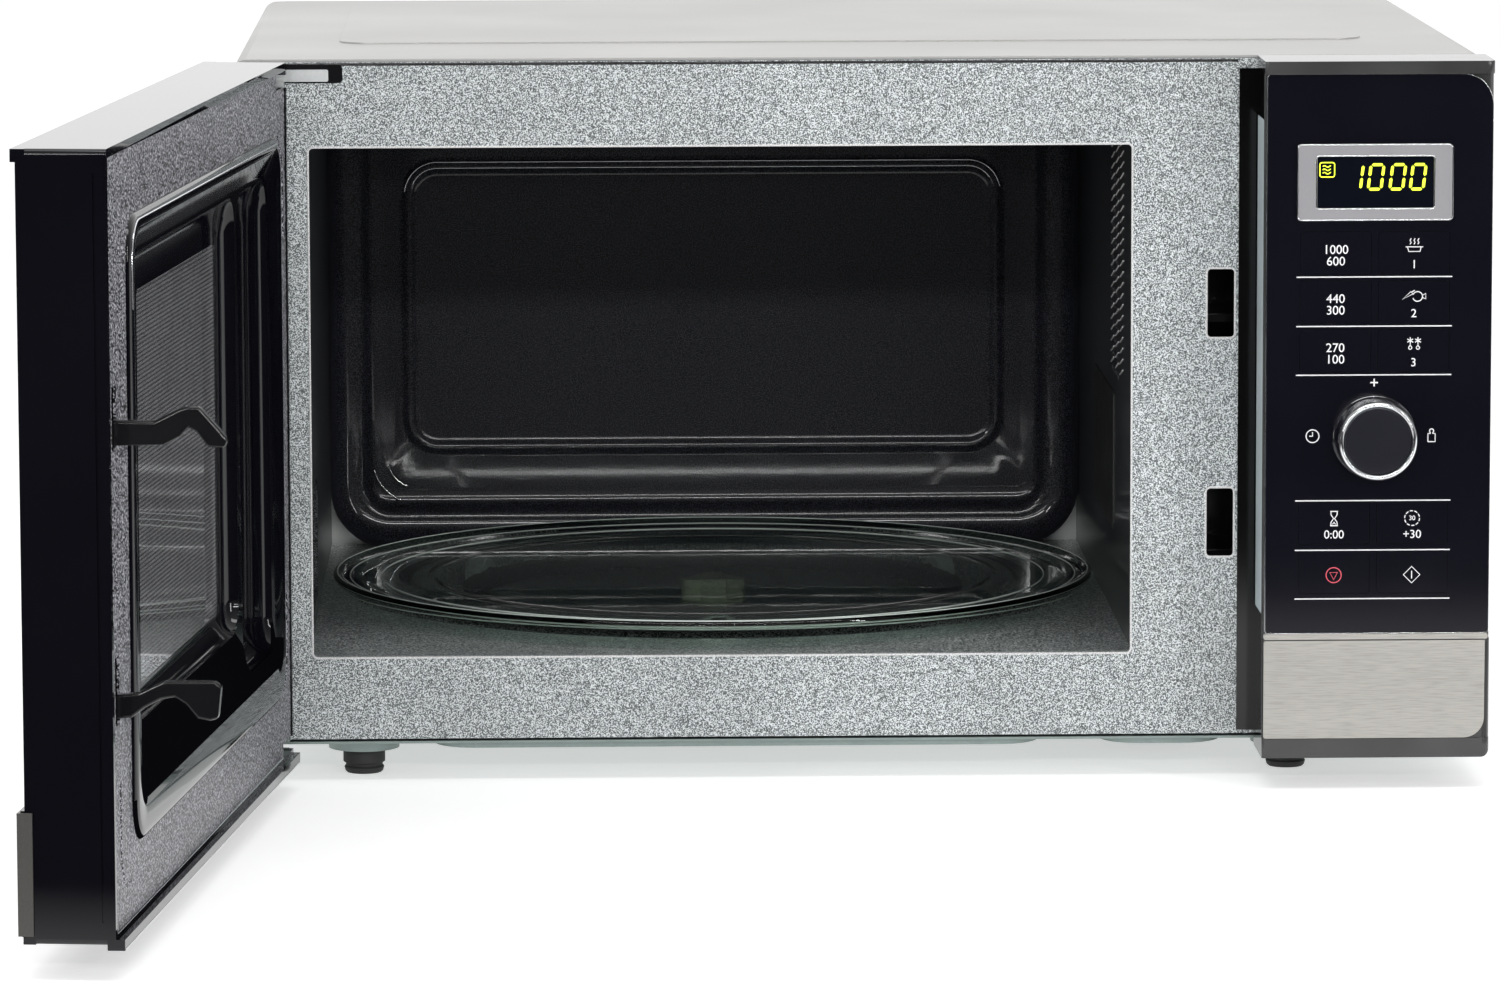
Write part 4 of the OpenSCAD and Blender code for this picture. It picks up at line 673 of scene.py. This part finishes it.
def choke_cover():
    """Gloss black moulding: shoulder, slope to a ledge, and two pockets with a bar between."""
    edge = (22, 40, 358, 258, 16)
    shoulder = (26.8, 50.5, 349.5, 253.4, 13)
    ledge = (37, 56, 337, 244, 9)
    ledge_w = 5

    def slope(most):
        """Depth of the long slope below the pockets, or the given one where that's less."""
        return lambda z: min(most, 1.35 + max(0, z - 50.5) * (ledge_w - 1.35) / 28.5)

    rings = []
    for grow, depth in ((0, 3), (0.15, 2.5), (0.6, 1.95), (1.3, 1.5), (2.2, 1.2), (3.2, 1.04), (4.2, 1.0)):
        inner = (edge[0] + grow, edge[1] + grow, edge[2] - grow, edge[3] - grow, edge[4] - grow)
        rings.append(ring_between(inner, inner, 0, depth))
    for t, depth in ((0, 1.3), (0.03, 1.36), (0.07, 1.5), (0.12, 1.8), (0.5, 3.4), (0.88, 4.75),
                     (0.95, 4.95), (1, ledge_w)):
        rings.append(ring_between(shoulder, ledge, t, slope(depth)))
    verts, faces = skin(rings)

    pockets = (((39, 61, 109, 243, 12), (54, 73, 99, 229, 5), 10.6),
               ((114, 79, 335, 243, 12), (121.5, 86, 326, 229, 4), 11))
    opening = (122, 86.4, 292, 226, 3)
    holes = []
    for top, base, deep in pockets:
        rim = ring_between(top, base, -0.03, slope(ledge_w))
        sunk = [rim]
        for angle in range(0, 91, 9):
            a = math.radians(angle)
            sunk.append([(x, DOOR_BACK - (w + (deep * MM - w) * math.sin(a)), z) for (x, _, z), w in
                         zip(ring_between(top, base, 1 - math.cos(a), 0), [DOOR_BACK - p[1] for p in rim])])
        holes.append([Vector(p) for p in rim])
        last = deep < 11
        if not last:
            sunk.append(ring_between(opening, opening, 0, 11))
            sunk.append(ring_between(opening, opening, 0, 12))
        more, quads = skin(sunk, last=last)
        faces += [tuple(k + len(verts) for k in q) for q in quads]
        verts += more
    level = [[Vector(p) for p in rings[-1]]] + holes
    flat = [[Vector((p.x, p.z, 0)) for p in loop] for loop in level]
    faces += [tuple(k + len(verts) for k in t) for t in tessellate_polygon(flat)]
    verts += [tuple(p) for loop in level for p in loop]
    slope_top = 80 * MM
    slope_back = DOOR_BACK - 1.45 * MM
    slope_front = DOOR_BACK - (ledge_w + 0.05) * MM

    def on_slope(face):
        """Part of the long slope under the pockets: low, past the shoulder and no deeper than the ledge."""
        ys = [verts[k][1] for k in face]
        return max(verts[k][2] for k in face) < slope_top and max(ys) < slope_back and min(ys) > slope_front

    matt = [face for face in faces if on_slope(face)]
    shiny = [face for face in faces if not on_slope(face)]
    for name, some, mat, replaced in (("door_choke_moulding", shiny, BLACK, ["door_choke_cover"]),
                                      ("door_choke_slope", matt, MATT, [])):
        kept = sorted({k for face in some for k in face})
        place = {k: i for i, k in enumerate(kept)}
        own = [[place[k] for k in face] for face in some]
        piece = mesh_piece(name, [verts[k] for k in kept], own, mat, smooth=24)
        fix(piece, "door", "gloss_black", *replaced, door=True)


def door_film():
    """Clear film behind the perforated screen."""
    box = (122.4, 86.8, 291.6, 225.6, 2.8)
    rings = [ring_between(box, box, 0, depth) for depth in (11.2, 11.5)]
    verts, faces = skin(rings, first=True, last=True)
    fix(mesh_piece("door_inner_film", verts, faces, FILM), "door", "door_glass", door=True)


def door_pressings():
    """Stiffening beads pressed into the inner plate's corners, and bright chrome lines painted as highlights
    along the door's edges and the choke cover's crest.
    """
    plate_w = 3

    def curl(cu, cz, r, start, end):
        return [on_door(cu + r * math.cos(math.radians(a)), plate_w, cz + r * math.sin(math.radians(a)))
                for a in range(start, end + 1, 10)]

    lines = [
        [on_door(380.5, plate_w, 66)] + curl(364.5, 44, 16, -100, 0)[::-1],
        [on_door(10, plate_w, 78)] + curl(28, 58, 18, 180, 250),
        [on_door(10, plate_w, 218)] + curl(28, 240, 18, 110, 180)[::-1],
    ]
    beads = tube("plate_beads", lines, 1.3 * MM, DOOR_PLATE, flat=DOOR_BACK - plate_w * MM)
    fix(beads, "door", "cavity_paint", door=True)
    # painted highlights: bright chrome lines along the door's top and lower edges
    edges = [[on_door(6, 2.9, 281.5), on_door(393, 2.9, 281.5)],
             [on_door(8, -0.5, 11.2), on_door(396, -0.5, 11.2)],
             [on_door(24, 2.9, 15.6), on_door(393, 2.9, 15.6)]]
    fix(tube("door_edge_lines", edges, 0.45 * MM, CREST), "door", "cavity_paint", door=True)
    # painted highlight: a bright chrome line on the crest along the top of the choke cover and round its
    # upper free corner
    crest_w, crest_r = 1.15, 14.6
    corner_u, corner_z = 341, 241
    crest = [on_door(34, crest_w, corner_z + crest_r)]
    crest += [on_door(corner_u + crest_r * math.sin(math.radians(a)), crest_w,
                      corner_z + crest_r * math.cos(math.radians(a))) for a in range(0, 91, 10)]
    crest.append(on_door(corner_u + crest_r, crest_w, corner_z - 15))
    fix(tube("choke_crest", [crest], 0.4 * MM, CREST), "door", "gloss_black", door=True)


# ---------------------------------------------------------------- control panel

SEGMENTS = {"0": "abcdef", "1": "bc"}


def segment_digit(x, z, w, h, letters):
    """Segments of a digit as (X, Z) outlines: pointed bars, leaning to the right."""
    t = 0.115 * h
    g = 0.035 * h
    lean = 0.12

    def bar(x0, z0, x1, z1):
        across = abs(x1 - x0) > abs(z1 - z0)
        k = t / 2
        if across:
            shape = [(x0 + g, z0), (x0 + g + k, z0 + k), (x1 - g - k, z0 + k), (x1 - g, z0),
                     (x1 - g - k, z0 - k), (x0 + g + k, z0 - k)]
        else:
            shape = [(x0, z0 + g), (x0 + k, z0 + g + k), (x0 + k, z1 - g - k), (x0, z1 - g),
                     (x0 - k, z1 - g - k), (x0 - k, z0 + g + k)]
        return [(px + lean * (pz - z), pz) for px, pz in shape]

    mid, up = z + h / 2, z + h
    bars = {"a": (x, up, x + w, up), "b": (x + w, mid, x + w, up), "c": (x + w, z, x + w, mid),
            "d": (x, z, x + w, z), "e": (x, z, x, mid), "f": (x, mid, x, up), "g": (x, mid, x + w, mid)}
    return [bar(*bars[c]) for c in letters]


def prisms(name, shapes, y0, y1, mat):
    """Flat solids from outlines of X and Z, between two Y values."""
    verts, faces = [], []
    for shape in shapes:
        more, quads = skin([[(x, y, z) for x, z in shape] for y in (y0, y1)], first=True, last=True)
        faces += [tuple(k + len(verts) for k in q) for q in quads]
        verts += more
    return mesh_piece(name, verts, faces, mat)


def arc(cx, cz, r, start, end, step=15):
    count = max(2, round(abs(end - start) / step) + 1)
    return [(cx + r * math.cos(math.radians(start + (end - start) * i / (count - 1))),
             cz + r * math.sin(math.radians(start + (end - start) * i / (count - 1)))) for i in range(count)]


def star(cx, cz, r, arms=3):
    lines = []
    for k in range(arms):
        a = math.pi * k / arms + math.pi / 2
        x, z = r * math.cos(a), r * math.sin(a)
        lines.append([(cx - x, cz - z), (cx + x, cz + z)])
    return lines


# Pictograms as lines of X and Z in millimetres about their centres
POT = [[(-3.4, 0.5), (3.4, 0.5)], [(-2.6, 0.3), (-2.2, -1.3), (2.2, -1.3), (2.6, 0.3)]] + [
    [(x, 1.5), (x + 0.5, 2.2), (x, 3.0), (x + 0.5, 3.8)] for x in (-1.7, -0.2, 1.3)]
MEAL = [arc(1.4, 0.3, 1.9, 200, 520, 20), [(3.1, 0.6), (4.6, 1.5), (4.6, -0.7), (3.1, 0.0)],
        [(-4.6, -0.9), (-1.2, 2.2), (-0.4, 1.3), (-4.6, -0.9)], [(-0.9, 2.0), (0.3, 2.7)]]
THAW = star(-1.3, 2.2, 1.3) + star(1.7, 2.2, 1.3) + [
    arc(x, -0.6, 0.62, -240, 60, 30) + [(x, 0.7), arc(x, -0.6, 0.62, -240, 60, 30)[0]] for x in (-1.3, 1.7)]
HOURGLASS = [[(-1.5, 2.8), (1.5, 2.8)], [(-1.5, -2.8), (1.5, -2.8)],
             [(-1.2, 2.6), (-1.2, 1.5), (-0.2, 0), (-1.2, -1.5), (-1.2, -2.6)],
             [(1.2, 2.6), (1.2, 1.5), (0.2, 0), (1.2, -1.5), (1.2, -2.6)],
             [(-0.6, -2.3), (0, -1.4), (0.6, -2.3)]]
ADD_TIME = [arc(0, 0, 2.9, -60 + k * 36, -36 + k * 36, 12) for k in range(10)]
STOP = [arc(0, 0, 3.1, 0, 360, 12), [(-1.6, 1.1), (1.6, 1.1), (0, -1.9), (-1.6, 1.1)]]
START = [[(0, 3.4), (3.4, 0), (0, -3.4), (-3.4, 0), (0, 3.4)], [(0, 1.6), (0, -1.6)]]
CLOCK = [arc(0, 0, 2.5, 0, 360, 12), [(0, 1.6), (0, 0), (-1.3, 0)]]
WEIGHT = [[(-1.4, -2.4), (-1.4, 0.8), (-0.5, 0.8), (-0.5, 1.2)], arc(0, 1.8, 0.8, 230, -50, 20),
          [(0.5, 1.2), (0.5, 0.8), (1.4, 0.8), (1.4, -2.4), (-1.4, -2.4)]]
PLUS = [[(-1.5, 0), (1.5, 0)], [(0, -1.5), (0, 1.5)]]


def drawn(name, lines, x, z, y, mat=INK, radius=0.23, size=1.0):
    """A pictogram at (x, z) on the plane Y = y."""
    placed = [[(x + px * size * MM, y, z + pz * size * MM) for px, pz in line] for line in lines]
    return tube(name, placed, radius * MM, mat, flat=y)


def figures(name, text, x, z, y, height, mat=INK):
    """Plain numerals centred on (x, z), facing the front."""
    curve = bpy.data.curves.new(name, "FONT")
    curve.body = text
    curve.size = height
    curve.align_x = "CENTER"
    curve.align_y = "CENTER"
    curve.extrude = 0.04 * MM
    curve.offset = 0.000015
    turn = Matrix.Translation((x, y, z)) @ Matrix.Rotation(math.radians(90), 4, "X")
    return as_mesh(name, curve, mat, place=turn)


def key_legends():
    numbers = {"key_power_high": ("1000", "600"), "key_power_medium": ("440", "300"),
               "key_power_low": ("270", "100")}
    pictures = {"key_menu_soup": POT, "key_menu_drink": MEAL, "key_menu_meal": THAW,
                "key_timer": HOURGLASS, "key_quick": ADD_TIME, "key_stop": STOP, "key_start": START}
    captions = {"key_menu_soup": "1", "key_menu_drink": "2", "key_menu_meal": "3",
                "key_timer": "0:00", "key_quick": "+30"}
    for key in KEYS:
        lo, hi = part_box(key)
        x, z, y = (lo.x + hi.x) / 2, (lo.z + hi.z) / 2, lo.y - 0.02 * MM
        parts = []
        if key in numbers:
            for text, rise in zip(numbers[key], (1.2, -3.3)):
                parts.append(figures(key + "_n", text, x, z + rise * MM, y, 4.9 * MM))
        else:
            low = key in ("key_stop", "key_start")
            rise = -1.1 if low else 1.8
            mat = RED_INK if key == "key_stop" else INK
            size = 0.95 if low else 1.0
            parts.append(drawn(key + "_p", pictures[key], x, z + rise * MM, y, mat, 0.2, size))
            if key in captions:
                parts.append(figures(key + "_c", captions[key], x, z - 4.6 * MM, y, 4.6 * MM))
            if key == "key_quick":
                parts.append(figures(key + "_m", "30", x, z + rise * MM, y, 2.6 * MM))
        legend = join(key.replace("key_", "legend_"), *parts)
        fix(legend, key, "white_plastic")


def panel_legends():
    lo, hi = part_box("panel_overlay")
    y = lo.y - 0.02 * MM
    dial_lo, dial_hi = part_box("dial_ring")
    dx, dz = (dial_lo.x + dial_hi.x) / 2, (dial_lo.z + dial_hi.z) / 2
    levels = [z * MM for z in (200.8, 181.6, 162.6, 113.5, 94.1, 75.0)]
    x0, x1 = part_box("display_bezel")[0].x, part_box("display_bezel")[1].x
    rules = [[(x0, y, z), (x1, y, z)] for z in levels]
    marks = [tube("rules", rules, 0.24 * MM, INK, flat=y),
             drawn("clock", CLOCK, dx - 23.8 * MM, dz + 0.2 * MM, y),
             drawn("weight", WEIGHT, dx + 22.5 * MM, dz + 0.2 * MM, y),
             drawn("more", PLUS, dx, dz + 21 * MM, y, radius=0.3)]
    fix(join("panel_legends", *marks), "cabinet", "white_plastic")
    # silver outline of the glossy film
    edge = outline(lo.x + 0.2 * MM, lo.z, hi.x, hi.z, 1.5 * MM, 6)
    corner = 11.7 * MM
    edge[7:14] = [(hi.x - corner + corner * math.cos(a), hi.z - corner + corner * math.sin(a))
                  for a in [math.radians(90 * i / 6) for i in range(7)]]
    line = [(x, lo.y + 0.25 * MM, z) for x, z in edge]
    fix(tube("film_outline", [line], 0.28 * MM, CHROME, closed=True), "cabinet", "chrome")


def display():
    lo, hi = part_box("display_window")
    y = lo.y
    height = 9.5 * MM
    z = 234.9 * MM
    shapes = []
    for x, digit in ((190.8, "1"), (195.0, "0"), (203.4, "0"), (211.3, "0")):
        w = 1.2 * MM if digit == "1" else 5.0 * MM
        shapes += segment_digit(x * MM, z, w, height, SEGMENTS[digit])
    digits = prisms("display_digits", shapes, y - 0.08 * MM, y + 0.1 * MM, LIT)
    fix(digits, "cabinet", "dark_window")
    ink_y = y - 0.02 * MM
    shape = outline(176.3 * MM, 239.7 * MM, 182.0 * MM, 245.3 * MM, 0.8 * MM, 3)
    box = [(px, ink_y, pz) for px, pz in shape]
    wave_x, wave_z, wave_gap = 177.4, 241.2, 1.3
    waves = [[((wave_x + k * 0.45) * MM, ink_y, (wave_z + row * wave_gap + 0.35 * math.sin(k * 1.1)) * MM)
              for k in range(8)] for row in range(3)]
    sign = tube("sign", [box], 0.2 * MM, LIT, flat=y, closed=True)
    wave = tube("wave", waves, 0.18 * MM, LIT, flat=y)
    fix(join("display_sign", sign, wave), "cabinet", "dark_window")
    # bright rims of the bezel
    blo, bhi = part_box("display_bezel")
    inset, margin = 0.2 * MM, 0.4 * MM
    outer = outline(blo.x + inset, blo.z + inset, bhi.x - inset, bhi.z - inset, 1.5 * MM)
    inner = outline(lo.x - margin, lo.z - margin, hi.x + margin, hi.z + margin, 1.1 * MM)
    rims = [[(px, blo.y + 0.15 * MM, pz) for px, pz in shape] for shape in (outer, inner)]
    fix(tube("bezel_rims", rims, 0.3 * MM, CHROME, closed=True), "cabinet", "chrome")


def dial():
    lo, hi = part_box("dial_ring")
    centre = ((lo.x + hi.x) / 2, 0, (lo.z + hi.z) / 2)
    front, back = lo.y, hi.y
    skirt = (hi.x - lo.x) / 2
    r = skirt - 0.9 * MM
    ring = [(r - 2.2 * MM, back), (skirt - 0.3 * MM, back), (skirt, back - 0.3 * MM),
            (skirt, back - 1.1 * MM), (skirt - 0.4 * MM, back - 1.6 * MM), (r + 0.1 * MM, back - 2.4 * MM),
            (r, back - 3.2 * MM), (r, front + 2 * MM), (r - 0.15 * MM, front + 1.2 * MM),
            (r - 0.5 * MM, front + 0.5 * MM), (r - 1.0 * MM, front + 0.1 * MM), (r - 1.5 * MM, front),
            (r - 1.9 * MM, front + 0.25 * MM), (r - 2.1 * MM, front + 0.8 * MM)]
    verts, faces = skin(lathe(ring, centre, "Y", 128), looped=True)
    fix(mesh_piece("dial_chrome_ring", verts, faces, CHROME, smooth=50), "dial", "chrome", "dial_ring")
    face = r - 2.1 * MM
    cap = [(face, back - 1 * MM), (face, front + 1.4 * MM), (face - 0.25 * MM, front + 1.0 * MM),
           (face - 1 * MM, front + 0.9 * MM), (face * 0.5, front + 0.98 * MM), (0.5 * MM, front + 1.0 * MM)]
    line = lathe([(face - 0.7 * MM, front + 1.1 * MM), (face - 0.45 * MM, front + 0.55 * MM),
                  (face - 0.2 * MM, front + 1.1 * MM)], centre, "Y", 96)
    verts, faces = skin(line)
    fix(mesh_piece("dial_inner_line", verts, faces, CHROME), "dial", "chrome")
    verts, faces = skin(lathe(cap, centre, "Y", 96), first=True, last=True)
    fix(mesh_piece("dial_face", verts, faces, EDGE, smooth=50), "dial", "black_plastic")


def panel_side():
    """Plain pale sticker on the panel's left wall."""
    lo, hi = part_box("panel_overlay")
    x = lo.x - 0.9 * MM
    shape = outline(hi.y + 2.5 * MM, 68.8 * MM, hi.y + 27 * MM, 261.6 * MM, 0.8 * MM, 4)
    rings = [[(x + d, y, z) for y, z in shape] for d in (-0.06 * MM, 0.1 * MM)]
    verts, faces = skin(rings, first=True, last=True)
    fix(mesh_piece("plain_side_sticker", verts, faces, STICKER), "cabinet", "white_plastic")


# ---------------------------------------------------------------- stage, lights, camera


def studio():
    half = 14.0
    size = 1.2
    steps = 4
    verts = [(-half + 2 * half * i / steps, -half + 2 * half * j / steps, 0)
             for j in range(steps + 1) for i in range(steps + 1)]
    row = steps + 1
    firsts = [j * row + i for j in range(steps) for i in range(steps)]
    faces = [(k, k + 1, k + row + 1, k + row) for k in firsts]
    ground, tree, shader = new_material("pale_floor", Roughness=0.9, Specular_IOR_Level=0.0,
                                        Emission_Strength=0.62)
    tone = ramp(tree, noise(tree, size), (0.3, 0.78), (0.7, 0.8))
    feed(tree, shader, Base_Color=tone, Emission_Color=tone)
    # reflections see a dark card in front of the oven, out of the camera's view
    ahead = add(tree, "SeparateXYZ", {"Vector": add(tree, "TexCoord").outputs["Object"]}).outputs["Y"]
    ahead = span(tree, ahead, 1.0, 0.0, -0.75, -0.6)
    mirrored = add(tree, "LightPath").outputs["Is Glossy Ray"]
    dark = add(tree, "BsdfDiffuse", {"Color": (0.02, 0.02, 0.022, 1)})
    carded = add(tree, "Math", {0: ahead, 1: mirrored}, operation="MULTIPLY").outputs[0]
    both = add(tree, "MixShader", {0: carded, 1: shader.outputs[0], 2: dark.outputs[0]})
    tree.links.new(both.outputs[0], tree.nodes["Material Output"].inputs["Surface"])
    mesh_piece("studio_floor", verts, faces, ground)

    world = bpy.data.worlds.new("studio")
    bpy.context.scene.world = world
    world.use_nodes = True
    tree = world.node_tree
    back = tree.nodes["Background"]
    parts = add(tree, "SeparateXYZ", {"Vector": add(tree, "TexCoord").outputs["Generated"]}).outputs
    back.inputs["Color"].default_value = (1, 1, 1, 1)
    rear = span(tree, parts["Y"], 0.16, 1.2, -0.2, 0.9)
    above = span(tree, parts["Z"], 0.0, 0.3, 0.3, 0.9)
    light = add(tree, "Math", {0: rear, 1: above}, operation="ADD").outputs[0]
    tree.links.new(light, back.inputs["Strength"])

    for name, place, aim, width, height, power in (
            ("overhead", (0.0, -0.9, 2.2), (0, 0, 0), 2.2, 0.5, 16),
            ("front_strip", (0.1, -3.4, 1.15), (0, 0, 0.15), 2.4, 0.1, 27),
            ("low_strip", (0.1, -3.4, 0.66), (0, 0, 0.15), 2.0, 0.04, 6),
            ("left_strip", (-1.5, -2.7, 0.9), (0, 0, 0.15), 0.08, 1.3, 14),
            ("right_strip", (1.9, -2.1, 0.9), (0, 0, 0.15), 0.1, 1.3, 14)):
        lamp = bpy.data.lights.new(name, "AREA")
        lamp.shape = "RECTANGLE"
        lamp.size, lamp.size_y = width, height
        lamp.energy = power
        obj = bpy.data.objects.new(name, lamp)
        obj.location = place
        obj.rotation_euler = (Vector(aim) - Vector(place)).to_track_quat("-Z", "Y").to_euler()
        bpy.context.scene.collection.objects.link(obj)

    shown = bpy.context.scene.view_settings
    shown.view_transform = "Standard"
    shown.look = "None"


def camera():
    lens = bpy.data.cameras.new("view")
    lens.sensor_width = 36.0
    lens.lens = 184.37
    lens.clip_end = 100
    obj = bpy.data.objects.new("view", lens)
    yaw, pitch, roll = math.radians(-1.49), math.radians(7.46), math.radians(-0.16)
    turn = Matrix.Rotation(yaw, 4, "Z") @ Matrix.Rotation(math.pi / 2 - pitch, 4, "X")
    obj.matrix_world = (Matrix.Translation((-0.121, -3.1575, 0.504)) @ turn
                        @ Matrix.Rotation(roll, 4, "Z"))
    bpy.context.scene.collection.objects.link(obj)
    bpy.context.scene.camera = obj


camera()
studio()
finish_cad_nodes()
cavity_details()
tray()
feet()
choke_cover()
door_film()
door_pressings()
key_legends()
panel_legends()
display()
dial()
panel_side()

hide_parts("dial_knob")
